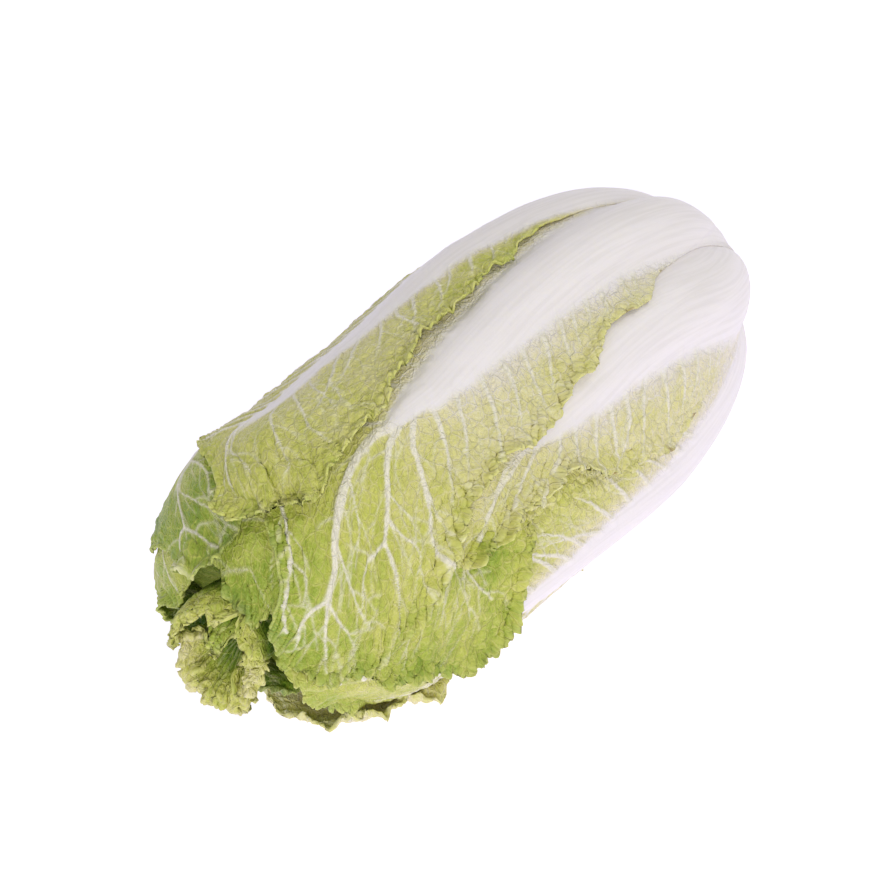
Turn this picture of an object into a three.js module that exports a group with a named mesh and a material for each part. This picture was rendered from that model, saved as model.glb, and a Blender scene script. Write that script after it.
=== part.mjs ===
// Napa cabbage lying on its side: a cut stump, a solid heart and the leaves wrapped round it, each a closed
// blade.
// Millimetres, +Z up. The head's axis lies along X, with the stump at +X and the leaf tips at -X.
//
// Every leaf is drawn in head coordinates: t is the distance from the butt's pole along the head's profile,
// and the angle is measured round the axis, 0 facing -Y, 90 facing up. A leaf lies on the leaves inside it,
// so each blade is raised by the thickness of those below, and that rise fades out past their margins.

import * as THREE from "three";

// ---- Driving dimensions --------------------------------------------------------------------------------

const headLength = 308;
const headRadius = 75;
const widestX = 2.7;
const buttFullness = 2.62;
const tipFullness = 3.04;
const axisHeight = 72;

const bladeThickness = 1.2;
const layerGap = 1.3;
const holdWidth = 6;
const fadeWidth = 20;
const fullRib = 21;
const marginWave = 2.2;
const marginWaveLengths = [6.1, 3.7];
const marginWaveT = [60, 180];
const tipWave = 1.54;
const tipWaveTurns = 8.5;
const frillReach = 9;
const frillWaveLengths = [7.3, 3.9];
const frillT = [40, 260];
const tipTurn = 45;
const narrowestRadius = 12;
const waveRadius = 30;

const leafBase = 28;
const leafColumns = 12;
const leafRows = 22;
const rowCrowding = 0.066;
const normalReach = 12;

const backFlat = 6;
const backFlatAngles = [80, 125, 165, 205];
const backFlatT = [160, 230, 265, 300];
const endTuck = 13;
const endTuckAngles = [170, 245, 325, 362];
const endTuckT = [285, 335];

const stumpRadius = 24;
const stumpRoot = 14;
const stumpFaceX = 154;
const stumpDepth = 17;
const stumpChamfer = 2;
const stumpSides = 28;

const heartClearance = 0.8;
const heartTipT = 318;
const heartTipDrop = 30;
const heartRings = 26;
const heartSides = 30;
const heartStep = 2.2;
const heartWraps = 5;
const heartTwist = 90;
const heartStepEase = 0.15;
const heartStepT = [200, 330];

const peelT = [236, 278];
const peelLineX = -80;
const peelLineT = 273;
const floorTipX = -126;
const floorTipT = 318;
const floorRadius = 73;
const floorCurlAside = [24, 52];
const floorSideCurl = 5;
const floorTipCurl = 3;
const floorTipCurlT = [296, 318];
const floorRippleAside = [10, 40];
const climb = 18;
const climbClear = 7.5;
const climbAside = [36, 53];
const climbT = [304, 323];
const floorRipples = [[1.6, 9, 11], [1.2, 5, -7]];

const cupCentre = new THREE.Vector3(-154, -9, 80);
const cupAxis = new THREE.Vector3(-1, -0.25, 0.3);
const cupAcross = 17;
const cupUp = 25;
const cupDepth = 16;
const cupRise = 4;
const cupThroat = 0.24;
const cupMouth = 1.08;
const cupRimDrop = 5;
const cupRimShare = 0.8;
const cupFrill = 2.6;
const cupLobes = 8;
const cupColumns = 40;
const cupRows = 9;

// ---- The head's profile --------------------------------------------------------------------------------

const buttX = headLength / 2;
const tipX = -headLength / 2;
const profileSteps = 1500;

function halfProfile(endX, fullness) {
  const points = [];
  for (let i = 0; i <= profileSteps; i += 1) {
    const angle = (i / profileSteps) * (Math.PI / 2);
    const x = widestX + (endX - widestX) * Math.cos(angle) ** (2 / fullness);
    points.push(new THREE.Vector2(x, headRadius * Math.sin(angle) ** (2 / fullness)));
  }
  return points;
}

const profile = [
  ...halfProfile(buttX, buttFullness),
  ...halfProfile(tipX, tipFullness).reverse().slice(1),
];
const profileT = [0];
for (let i = 1; i < profile.length; i += 1) {
  profileT.push(profileT[i - 1] + profile[i].distanceTo(profile[i - 1]));
}
const profileEnd = profileT[profileT.length - 1];

function profileIndex(t) {
  let low = 0;
  let high = profileT.length - 1;
  while (high - low > 1) {
    const middle = (low + high) >> 1;
    if (profileT[middle] > t) high = middle;
    else low = middle;
  }
  return low;
}

function profileAt(t) {
  const held = THREE.MathUtils.clamp(t, 0, profileEnd);
  const i = profileIndex(held);
  const share = (held - profileT[i]) / (profileT[i + 1] - profileT[i]);
  const point = profile[i].clone().lerp(profile[i + 1], share);
  const before = profile[Math.max(0, i - normalReach)];
  const after = profile[Math.min(profile.length - 1, i + 1 + normalReach)];
  const along = after.clone().sub(before).normalize();
  return { x: point.x, r: point.y, nx: along.y, nr: -along.x };
}

const fade = (from, to, value) => THREE.MathUtils.smoothstep(value, from, to);
const hump = ([start, full, leave, end], value) => fade(start, full, value) * (1 - fade(leave, end, value));

// How far the head lies inside its profile: it is flatter at the back, and its lower end tucks under.
function tuck(t, angle) {
  const turn = THREE.MathUtils.euclideanModulo(angle, 360);
  const back = hump(backFlatAngles, turn) * hump(backFlatT, t);
  const under = hump(endTuckAngles, turn) * fade(...endTuckT, t);
  return backFlat * back + endTuck * under;
}

// A point on the head at t and angle, standing rise millimetres proud of its surface.
function headPoint(t, angle, rise) {
  const at = profileAt(t);
  const proud = rise - tuck(t, angle);
  const radius = at.r + at.nr * proud;
  const turn = THREE.MathUtils.degToRad(angle);
  return new THREE.Vector3(
    at.x + at.nx * proud,
    -radius * Math.cos(turn),
    axisHeight + radius * Math.sin(turn),
  );
}

// ---- Leaves --------------------------------------------------------------------------------------------

// Smooth curve through [place, value] pairs.
function curve(pairs, place) {
  const last = pairs.length - 1;
  if (place <= pairs[0][0]) return pairs[0][1];
  if (place >= pairs[last][0]) return pairs[last][1];
  let i = 0;
  while (pairs[i + 1][0] < place) i += 1;
  const slope = (k) => {
    const a = pairs[Math.max(0, k - 1)];
    const b = pairs[Math.min(last, k + 1)];
    return (b[1] - a[1]) / (b[0] - a[0]);
  };
  const width = pairs[i + 1][0] - pairs[i][0];
  const s = (place - pairs[i][0]) / width;
  const [from, to] = [pairs[i][1], pairs[i + 1][1]];
  const cubic = s * s * (3 - 2 * s);
  return from + (to - from) * cubic
    + width * slope(i) * s * (1 - s) ** 2
    - width * slope(i + 1) * s * s * (1 - s);
}

// Leaves from the innermost to the outermost. middle is the midrib, high and low are the two margins, all as
// [t, angle] pairs; tip is where the blade ends, as [share of the half width, t] pairs; rib is the midrib's
// half width in mm, as [t, width] pairs; frill is how far the margin stands off, in mm, at the tip.
const leaves = [
  {
    name: "leaf_narrow_inner",
    colour: 0x9db25a,
    crown: 1.6,
    middle: [[24, 92], [250, 90], [320, 84], [337, 76], [346, 64], [356, 52]],
    high: [[24, 106], [250, 106], [320, 108], [340, 104], [356, 84]],
    low: [[24, 78], [250, 76], [320, 60], [337, 50], [356, 30]],
    tip: [[-1, 340], [0, 352], [1, 346]],
    rib: [[24, 9], [120, 8], [250, 4], [320, 2.5], [360, 2]],
    frill: 1,
  },
  {
    name: "leaf_underside_far",
    colour: 0xa4b764,
    crown: 6,
    middle: [[24, 248], [120, 248], [280, 244], [350, 240]],
    high: [[24, 294], [120, 292], [300, 292], [360, 290]],
    low: [[24, 202], [120, 200], [280, 196], [360, 190]],
    tip: [[-1, 346], [0, 362], [1, 342]],
    rib: [[24, 15], [80, 25], [150, 17], [220, 8], [260, 4], [360, 2]],
    frill: 4.5,
  },
  {
    name: "leaf_right_lower",
    colour: 0xc9c79a,
    crown: 6,
    middle: [[24, -22], [124, -18], [177, -13], [237, -9], [282, -6], [304, 0], [325, 4], [345, 8]],
    high: [[24, 24], [120, 26], [190, 25], [200, 28], [236, 29], [246, 34], [300, 34], [345, 42]],
    low: [[24, -66], [120, -64], [240, -58], [300, -48], [345, -38]],
    tip: [[-1, 322], [-0.5, 338], [0, 344], [0.6, 349], [1, 342]],
    rib: [[24, 15], [80, 25], [124, 22], [177, 15], [237, 7], [282, 4], [345, 2]],
    frill: 4.5,
  },
  {
    name: "leaf_right_tip",
    colour: 0xb7b762,
    crown: 2.5,
    middle: [[24, 44], [200, 42], [245, 41], [270, 34], [295, 22], [325, 16]],
    high: [[24, 62], [200, 64], [260, 72], [300, 60], [330, 46]],
    low: [[24, 26], [200, 30], [228, 29], [240, 15], [252, -7], [263, -14], [279, -13], [296, -6], [311, 1],
      [322, 8]],
    tip: [[-1, 316], [-0.5, 326], [0, 330], [1, 322]],
    rib: [[24, 9], [120, 10], [200, 7], [250, 4], [330, 2]],
    frill: 12,
  },
  {
    name: "leaf_back_lower",
    colour: 0x9aa05e,
    crown: 6,
    middle: [[24, 208], [200, 202], [290, 186], [320, 168], [335, 156], [350, 142], [366, 124]],
    high: [[24, 254], [200, 250], [300, 236], [350, 212], [368, 200]],
    low: [[24, 164], [200, 156], [290, 142], [335, 122], [350, 112], [366, 92]],
    tip: [[-1, 354], [0, 368], [1, 362]],
    rib: [[24, 15], [80, 25], [150, 17], [220, 8], [260, 4], [360, 2]],
    frill: 2,
  },
  {
    name: "leaf_back_upper",
    colour: 0xa0a35c,
    crown: 6,
    middle: [[24, 170], [240, 160], [290, 150], [320, 142], [335, 127], [350, 112]],
    high: [[24, 214], [240, 208], [300, 194], [335, 172], [354, 150]],
    low: [[24, 126], [240, 118], [300, 108], [322, 94], [340, 84], [352, 84]],
    tip: [[-1, 342], [-0.4, 352], [0, 353], [0.5, 348], [1, 336]],
    rib: [[24, 15], [80, 25], [150, 17], [220, 8], [260, 4], [350, 2.5]],
    frill: 4.5,
  },
  {
    name: "leaf_right_upper",
    colour: 0xe2d8b4,
    crown: 6,
    middle: [[24, 40], [75, 42], [115, 49], [147, 51], [178, 49], [202, 48], [224, 46], [250, 43],
      [290, 42]],
    high: [[24, 84], [75, 86], [200, 84], [290, 74]],
    low: [[24, -4], [81, 13], [125, 12], [141, 9], [162, 14], [180, 18], [192, 24], [202, 30], [236, 31],
      [248, 27], [261, 28], [290, 30]],
    tip: [[-1, 266], [0, 278], [1, 272]],
    rib: [[24, 16], [75, 24], [115, 20], [147, 16], [178, 11], [202, 8], [224, 4.5], [290, 2.5]],
    frill: 4.5,
  },
  {
    name: "leaf_top",
    colour: 0xc8c685,
    crown: 6,
    middle: [[24, 81], [121, 86], [168, 85], [204, 82], [234, 79], [256, 78], [290, 66], [309, 54],
      [322, 46], [350, 40]],
    high: [[24, 124], [120, 122], [250, 116], [290, 108], [305, 99], [318, 86], [332, 75], [350, 62]],
    low: [[24, 36], [60, 60], [103, 64], [130, 59], [155, 59], [175, 53], [193, 50], [217, 46], [240, 47],
      [254, 43], [268, 35], [284, 24], [301, 16], [325, 11], [350, 10]],
    tip: [[-1, 334], [-0.5, 346], [0, 347], [0.5, 336], [1, 316]],
    rib: [[24, 16], [90, 22], [121, 20], [168, 16], [204, 11], [234, 7], [254, 4], [290, 3], [350, 2]],
    frill: 4.5,
  },
  {
    name: "leaf_left",
    colour: 0xb5b66c,
    crown: 6,
    middle: [[24, 127], [151, 126], [195, 126], [231, 124], [265, 123], [290, 124], [303, 119], [318, 106]],
    high: [[24, 172], [151, 170], [240, 166], [290, 152], [312, 128]],
    low: [[24, 96], [80, 106], [111, 108], [127, 107], [153, 102], [183, 97], [205, 95], [227, 91],
      [242, 86], [254, 82], [274, 82], [286, 77], [298, 75], [326, 81]],
    tip: [[-1, 308], [-0.6, 326], [-0.2, 328], [0.2, 320], [0.5, 312], [1, 292]],
    rib: [[24, 16], [95, 21], [151, 17], [195, 12], [231, 8], [265, 5], [320, 2.5]],
    frill: 4.5,
  },
  {
    name: "leaf_underside_flopped",
    colour: 0xb4b95c,
    crown: 6,
    middle: [[24, -82], [120, -84], [250, -88], [330, -92]],
    high: [[24, -38], [120, -40], [200, -44], [250, -52], [262, -49], [278, -47], [292, -51], [305, -54],
      [322, -66]],
    low: [[24, -126], [120, -128], [260, -122], [322, -100]],
    tip: [[-1, 306], [0, 318], [0.5, 319], [1, 313]],
    rib: [[24, 15], [80, 26], [150, 22], [220, 14], [260, 8], [320, 3]],
    frill: 4.5,
  },
];

// The angle between the midrib and one margin, whose outline waves in and out along the blade.
function span(leaf, t, high) {
  const middle = curve(leaf.middle, t);
  const drawn = high ? curve(leaf.high, t) - middle : middle - curve(leaf.low, t);
  const phase = leaf.middle[0][1] + (high ? 2 : 0);
  const [long, short] = marginWaveLengths;
  const wave = 0.65 * Math.sin(t / long + phase) + 0.35 * Math.sin(t / short + 2 * phase);
  const out = marginWave * wave * fade(...marginWaveT, t);
  return drawn + THREE.MathUtils.radToDeg(out / Math.max(profileAt(t).r, waveRadius));
}

// Where the blade ends along one column of the leaf.
function tipEnd(leaf, u) {
  return curve(leaf.tip, u) + tipWave * Math.sin(tipWaveTurns * u + leaf.middle[0][1]);
}

// Place across a leaf, -1 to 1 from the low margin to the high one.
function acrossLeaf(leaf, t, angle) {
  const off = THREE.MathUtils.euclideanModulo(angle - curve(leaf.middle, t) + 180, 360) - 180;
  return off / span(leaf, t, off > 0);
}

function halfWidth(leaf, t, u) {
  return THREE.MathUtils.degToRad(span(leaf, t, u > 0)) * Math.max(profileAt(t).r, narrowestRadius);
}

// The blade's thickness: a broad crowned midrib near the base, thinning to a vein at the tip.
function thickness(leaf, t, u) {
  const reach = Math.abs(THREE.MathUtils.clamp(u, -1, 1)) * halfWidth(leaf, t, u);
  const inRib = Math.max(0, 1 - (reach / curve(leaf.rib, t)) ** 2);
  const crown = leaf.crown * Math.min(1, curve(leaf.rib, t) / fullRib) ** 1.5;
  return bladeThickness + crown * inRib ** 1.2;
}

// 1 where the leaf lies and for holdWidth past its margin, then falling to 0 over fadeWidth.
function presence(leaf, t, angle) {
  const u = acrossLeaf(leaf, t, angle);
  const aside = Math.max(0, Math.abs(u) - 1) * halfWidth(leaf, t, u);
  const beyond = Math.max(0, t - tipEnd(leaf, THREE.MathUtils.clamp(u, -1, 1)));
  return 1 - fade(holdWidth, holdWidth + fadeWidth, Math.hypot(aside, beyond));
}

// How far the leaves below number count raise the surface at this place.
function stack(count, t, angle) {
  let rise = 0;
  for (const leaf of leaves.slice(0, count)) {
    const share = presence(leaf, t, angle);
    if (share > 0) {
      const u = THREE.MathUtils.clamp(acrossLeaf(leaf, t, angle), -1, 1);
      rise += share * (thickness(leaf, t, u) + layerGap);
    }
  }
  return rise;
}

// The heart lies below the head's profile by the mean height of the leaves round it.
const meanSamples = 36;
const meanStep = 10;
const meanStack = [];
for (let t = 0; t <= profileEnd + meanStep; t += meanStep) {
  let sum = 0;
  for (let k = 0; k < meanSamples; k += 1) sum += stack(leaves.length, t, (k * 360) / meanSamples);
  meanStack.push([t, sum / meanSamples]);
}
const heartDepth = (t) => curve(meanStack, t);

// Where the leaf is free of those above it, its margin stands off in waves.
function margin(leaf, number, t, u, angle) {
  const edge = Math.min((1 - Math.abs(u)) * halfWidth(leaf, t, u), tipEnd(leaf, u) - t);
  const along = t + tipTurn * u;
  const [long, short] = frillWaveLengths;
  const wave = 0.55 + 0.3 * Math.sin(along / long + number * 1.9) + 0.15 * Math.sin(along / short + number);
  let free = 1;
  for (const above of leaves.slice(number + 1)) free *= 1 - presence(above, t, angle);
  return leaf.frill * fade(...frillT, t) * wave * free * Math.exp(-((edge / frillReach) ** 2));
}

// The outermost leaf underneath leaves the head near its tip and lies along the surface below it. It climbs
// towards the head's underside before it turns down to its margin.
function onSurface(point, t, angle, rise) {
  const peel = fade(...peelT, t);
  if (peel === 0) return point;
  const aside = THREE.MathUtils.degToRad(angle + 90) * floorRadius;
  const perMillimetre = (floorTipX - peelLineX) / (floorTipT - peelLineT);
  const headX = profileAt(t).x;
  const x = headX < peelLineX ? peelLineX + (t - peelLineT) * perMillimetre : headX;
  let ripple = 0;
  for (const [high, across, along] of floorRipples) ripple += high * Math.sin(aside / across + t / along);
  const rippled = ripple * fade(...floorRippleAside, Math.abs(aside));
  const widthHere = profile.find((place) => place.x <= x).y;
  const room = axisHeight - Math.sqrt(Math.max(widthHere ** 2 - aside ** 2, 0));
  const climbed = THREE.MathUtils.clamp(room - climbClear, 0, climb)
    * (1 - fade(...climbAside, Math.abs(aside))) * (1 - fade(...climbT, t));
  const sideCurl = floorSideCurl * fade(...floorCurlAside, Math.abs(aside));
  const tipCurl = floorTipCurl * fade(...floorTipCurlT, t);
  const flat = new THREE.Vector3(x, -aside, Math.max(0, sideCurl + tipCurl + climbed + rippled) + rise);
  return point.clone().lerp(flat, peel);
}

function gridShell(columns, rows, place) {
  const points = [];
  const index = [];
  const outer = (i, j) => j * (columns + 1) + i;
  const inner = (i, j) => (rows + 1) * (columns + 1) + outer(i, j);
  for (const side of [1, 0]) {
    for (let j = 0; j <= rows; j += 1) {
      for (let i = 0; i <= columns; i += 1) points.push(...place(i / columns, j / rows, side).toArray());
    }
  }
  const quad = (a, b, c, d) => index.push(a, b, c, a, c, d);
  for (let j = 0; j < rows; j += 1) {
    for (let i = 0; i < columns; i += 1) {
      const [a, b, c, d] = [[i, j], [i + 1, j], [i + 1, j + 1], [i, j + 1]];
      index.push(outer(...a), outer(...c), outer(...b), outer(...a), outer(...d), outer(...c));
      quad(inner(...a), inner(...b), inner(...c), inner(...d));
    }
  }
  for (let i = 0; i < columns; i += 1) {
    quad(outer(i, 0), outer(i + 1, 0), inner(i + 1, 0), inner(i, 0));
    quad(outer(i + 1, rows), outer(i, rows), inner(i, rows), inner(i + 1, rows));
  }
  for (let j = 0; j < rows; j += 1) {
    quad(outer(0, j + 1), outer(0, j), inner(0, j), inner(0, j + 1));
    quad(outer(columns, j), outer(columns, j + 1), inner(columns, j + 1), inner(columns, j));
  }
  const geometry = new THREE.BufferGeometry();
  geometry.setAttribute("position", new THREE.Float32BufferAttribute(points, 3));
  geometry.setIndex(index);
  return geometry;
}

const finish = (colour) => new THREE.MeshStandardMaterial({ color: colour, roughness: 0.55, metalness: 0 });

function named(name, geometry, colour) {
  const mesh = new THREE.Mesh(geometry, finish(colour));
  mesh.name = name;
  return mesh;
}

// Rows are closer together where the head curves in at its two ends.
const rowPlace = (v) => v - rowCrowding * Math.sin(2 * Math.PI * v);

function makeLeaf(leaf, number) {
  const flopped = leaf.name === "leaf_underside_flopped";
  const geometry = gridShell(leafColumns, leafRows, (i, j, side) => {
    const u = 1 - 2 * i;
    const end = tipEnd(leaf, u);
    const t = leafBase + (end - leafBase) * rowPlace(j);
    const angle = curve(leaf.middle, t) + u * span(leaf, t, u > 0);
    const body = thickness(leaf, t, u);
    const lift = margin(leaf, number, t, u, angle);
    const rise = stack(number, t, angle) - heartDepth(t) + lift + side * body;
    const point = headPoint(t, angle, rise);
    const placed = flopped ? onSurface(point, t, angle, (1 - side) * body) : point;
    placed.z = Math.max(placed.z, flopped ? (1 - side) * bladeThickness : bladeThickness);
    return placed;
  });
  return named(leaf.name, geometry, leaf.colour);
}

// ---- Heart ---------------------------------------------------------------------------------------------

// The tight inner leaves as one body; their overlapping wraps stand out of it as spiral steps.
function makeHeart() {
  const points = [];
  const index = [];
  const place = (t, angle) => {
    const turn = ((angle * heartWraps) / 360 + t / heartTwist) % 1;
    const step = heartStep * (1 - turn) * fade(0, heartStepEase, turn) * fade(...heartStepT, t);
    const drop = heartDepth(t) + heartClearance + heartTipDrop * fade(heartTipT, profileEnd, t);
    return headPoint(t, angle, step - heartStep - drop);
  };
  points.push(...place(0, 0).toArray());
  for (let j = 1; j < heartRings; j += 1) {
    const t = (profileEnd * j) / heartRings;
    for (let i = 0; i < heartSides; i += 1) points.push(...place(t, (360 * i) / heartSides).toArray());
  }
  points.push(...place(profileEnd, 0).toArray());
  const at = (i, j) => 1 + (j - 1) * heartSides + (i % heartSides);
  const last = points.length / 3 - 1;
  for (let i = 0; i < heartSides; i += 1) {
    index.push(0, at(i + 1, 1), at(i, 1));
    index.push(last, at(i, heartRings - 1), at(i + 1, heartRings - 1));
    for (let j = 1; j < heartRings - 1; j += 1) {
      index.push(at(i, j), at(i + 1, j), at(i + 1, j + 1));
      index.push(at(i, j), at(i + 1, j + 1), at(i, j + 1));
    }
  }
  const geometry = new THREE.BufferGeometry();
  geometry.setAttribute("position", new THREE.Float32BufferAttribute(points, 3));
  geometry.setIndex(index);
  return named("heart", geometry, 0xd9d69a);
}

// ---- Stump ---------------------------------------------------------------------------------------------

function makeStump() {
  const outline = [
    new THREE.Vector2(0, stumpFaceX - stumpDepth),
    new THREE.Vector2(stumpRoot, stumpFaceX - stumpDepth),
    new THREE.Vector2(stumpRadius, stumpFaceX - stumpChamfer),
    new THREE.Vector2(stumpRadius - stumpChamfer, stumpFaceX),
    new THREE.Vector2(0, stumpFaceX),
  ];
  const geometry = new THREE.LatheGeometry(outline, stumpSides);
  geometry.rotateZ(-Math.PI / 2);
  geometry.translate(0, 0, axisHeight);
  return named("stump", geometry, 0xe9e2cc);
}

// ---- The curled leaf at the tip ------------------------------------------------------------------------

// A young leaf rolled to an open cup, its rim turned out in frills.
function makeCurledLeaf() {
  const forward = cupAxis.clone().normalize();
  const side = new THREE.Vector3(0, 0, 1).cross(forward).normalize();
  const up = forward.clone().cross(side);
  const geometry = ringShell(cupColumns, cupRows, (turn, s, wall) => {
    const angle = 2 * Math.PI * turn;
    const frill = cupFrill * s ** 2 * Math.sin(cupLobes * angle + 1.3 * Math.sin(2 * angle));
    const share = cupThroat + (cupMouth - cupThroat) * s ** cupRimShare;
    const height = -cupDepth + (cupDepth + cupRise) * s + frill - cupRimDrop * fade(cupRimShare, 1, s);
    const out = wall * bladeThickness + 0.6 * frill;
    return cupCentre.clone()
      .addScaledVector(forward, height - wall * bladeThickness * 0.5)
      .addScaledVector(side, (share * cupAcross + out) * Math.cos(angle))
      .addScaledVector(up, (share * cupUp + out) * Math.sin(angle));
  });
  return named("leaf_tip_curled", geometry, 0x8f9d38);
}

// A sheet closed round on itself, with two walls joined at both rims.
function ringShell(columns, rows, place) {
  const points = [];
  const index = [];
  const outer = (i, j) => j * columns + (i % columns);
  const inner = (i, j) => (rows + 1) * columns + outer(i, j);
  for (const wall of [1, 0]) {
    for (let j = 0; j <= rows; j += 1) {
      for (let i = 0; i < columns; i += 1) points.push(...place(i / columns, j / rows, wall).toArray());
    }
  }
  const quad = (a, b, c, d) => index.push(a, b, c, a, c, d);
  for (let i = 0; i < columns; i += 1) {
    for (let j = 0; j < rows; j += 1) {
      quad(outer(i, j), outer(i + 1, j), outer(i + 1, j + 1), outer(i, j + 1));
      index.push(inner(i, j), inner(i + 1, j + 1), inner(i + 1, j));
      index.push(inner(i, j), inner(i, j + 1), inner(i + 1, j + 1));
    }
    quad(inner(i, 0), inner(i + 1, 0), outer(i + 1, 0), outer(i, 0));
    quad(inner(i + 1, rows), inner(i, rows), outer(i, rows), outer(i + 1, rows));
  }
  const geometry = new THREE.BufferGeometry();
  geometry.setAttribute("position", new THREE.Float32BufferAttribute(points, 3));
  geometry.setIndex(index);
  return geometry;
}

// ---- The head ------------------------------------------------------------------------------------------

const head = new THREE.Group();
head.add(makeStump(), makeHeart(), makeCurledLeaf());
leaves.forEach((leaf, number) => head.add(makeLeaf(leaf, number)));

// The origin is on the surface it rests on, under the middle of the whole head.
const middleOfHead = new THREE.Box3().setFromObject(head).getCenter(new THREE.Vector3());
head.position.set(-middleOfHead.x, -middleOfHead.y, 0);

const napaCabbage = new THREE.Group();
napaCabbage.add(head);

export default napaCabbage;
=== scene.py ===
"""Napa cabbage lying on its side: the looks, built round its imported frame."""

import math
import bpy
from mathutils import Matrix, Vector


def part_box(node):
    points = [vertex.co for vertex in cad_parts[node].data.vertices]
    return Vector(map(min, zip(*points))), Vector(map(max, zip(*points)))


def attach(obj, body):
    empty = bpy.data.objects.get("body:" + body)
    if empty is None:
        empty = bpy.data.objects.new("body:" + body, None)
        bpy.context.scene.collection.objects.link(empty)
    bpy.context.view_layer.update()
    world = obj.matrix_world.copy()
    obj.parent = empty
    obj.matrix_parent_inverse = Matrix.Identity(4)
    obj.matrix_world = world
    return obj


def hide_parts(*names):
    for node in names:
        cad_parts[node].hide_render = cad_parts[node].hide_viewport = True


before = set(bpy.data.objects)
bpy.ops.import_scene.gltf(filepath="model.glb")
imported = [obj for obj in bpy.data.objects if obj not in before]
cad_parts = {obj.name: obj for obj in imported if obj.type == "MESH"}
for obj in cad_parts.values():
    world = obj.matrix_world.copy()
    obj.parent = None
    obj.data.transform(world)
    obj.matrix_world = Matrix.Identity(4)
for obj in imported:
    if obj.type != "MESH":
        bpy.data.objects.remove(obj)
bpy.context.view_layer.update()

from types import SimpleNamespace

import bpy
import numpy as np
from mathutils import Vector


# ---- The wrapped head -------------------------------------------------------------------------
# Every leaf lies on the head in two places: t, the way in mm along the head's outline from the
# butt, and the angle round its axis, 0 towards -Y and 90 up. A leaf rests on those inside it.

HEAD_LENGTH, HEAD_RADIUS, WIDEST_X = 308.0, 75.0, 2.7
BUTT_FULLNESS, TIP_FULLNESS = 2.62, 3.04
AXIS_HEIGHT = 72.0
STUMP_FACE_X = HEAD_LENGTH / 2
LEAF_BASE = 28.0
BLADE = 0.9
LAYER_GAP = 0.45
FULL_RIB = 21.0
MM = 0.001

stump_low, stump_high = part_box("stump")
HEAD_AT = np.array([
    stump_high.x / MM - STUMP_FACE_X,
    (stump_low.y + stump_high.y) / 2 / MM,
    0.0,
])


def half_outline(end_x, fullness):
    turn = np.linspace(0, math.pi / 2, 3001)
    x = WIDEST_X + (end_x - WIDEST_X) * np.cos(turn) ** (2 / fullness)
    return x, HEAD_RADIUS * np.sin(turn) ** (2 / fullness)


butt_x, butt_r = half_outline(HEAD_LENGTH / 2, BUTT_FULLNESS)
tip_x, tip_r = half_outline(-HEAD_LENGTH / 2, TIP_FULLNESS)
outline_x = np.concatenate([butt_x, tip_x[::-1][1:]])
outline_r = np.concatenate([butt_r, tip_r[::-1][1:]])
outline_t = np.concatenate([[0], np.cumsum(np.hypot(np.diff(outline_x), np.diff(outline_r)))])
OUTLINE_END = outline_t[-1]


def radius_at(t):
    return np.interp(t, outline_t, outline_r)


def fade(start, end, value):
    s = np.clip((value - start) / (end - start), 0, 1)
    return s * s * (3 - 2 * s)


def hump(places, value):
    """Rises from 0 to 1 between the first two places and falls back between the last two."""
    return fade(places[0], places[1], value) * (1 - fade(places[2], places[3], value))


BACK_FLAT, BACK_FLAT_ANGLES, BACK_FLAT_T = 6.0, (80, 125, 165, 205), (160, 230, 265, 300)
END_TUCK, END_TUCK_ANGLES, END_TUCK_T = 13.0, (170, 245, 325, 362), (285, 335)


def tuck(t, angle):
    """How far the head lies inside its outline: flatter at the back, its lower end tucked under."""
    turn = angle % 360
    back = BACK_FLAT * hump(BACK_FLAT_ANGLES, turn) * hump(BACK_FLAT_T, t)
    return back + END_TUCK * hump(END_TUCK_ANGLES, turn) * fade(*END_TUCK_T, t)


def head_point(t, angle, rise):
    """Points on the head in mm, raised from its surface along the outline's normal."""
    step = 1.5
    rise = rise - tuck(t, angle)
    before, after = np.clip(t - step, 0, OUTLINE_END), np.clip(t + step, 0, OUTLINE_END)
    along_x = np.interp(after, outline_t, outline_x) - np.interp(before, outline_t, outline_x)
    along_r = radius_at(after) - radius_at(before)
    length = np.maximum(np.hypot(along_x, along_r), 1e-6)
    radius = radius_at(t) - along_x / length * rise
    x = np.interp(t, outline_t, outline_x) + along_r / length * rise
    turn = np.radians(angle)
    return np.stack([x, -radius * np.cos(turn), AXIS_HEIGHT + radius * np.sin(turn)], -1)


def curve(pairs, place):
    """A smooth curve through (place, value) pairs, held level past both ends."""
    px, py = np.array(pairs, float).T
    last = len(px) - 1
    place = np.clip(place, px[0], px[-1])
    i = np.clip(np.searchsorted(px, place, side="right") - 1, 0, last - 1)
    before, after = np.maximum(np.arange(last + 1) - 1, 0), np.minimum(np.arange(last + 1) + 1, last)
    slope = (py[after] - py[before]) / (px[after] - px[before])
    width = px[i + 1] - px[i]
    s = (place - px[i]) / width
    return (
        py[i]
        + (py[i + 1] - py[i]) * s * s * (3 - 2 * s)
        + width * slope[i] * s * (1 - s) ** 2
        - width * slope[i + 1] * s * s * (1 - s)
    )


NOISE_CELLS = 64


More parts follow.
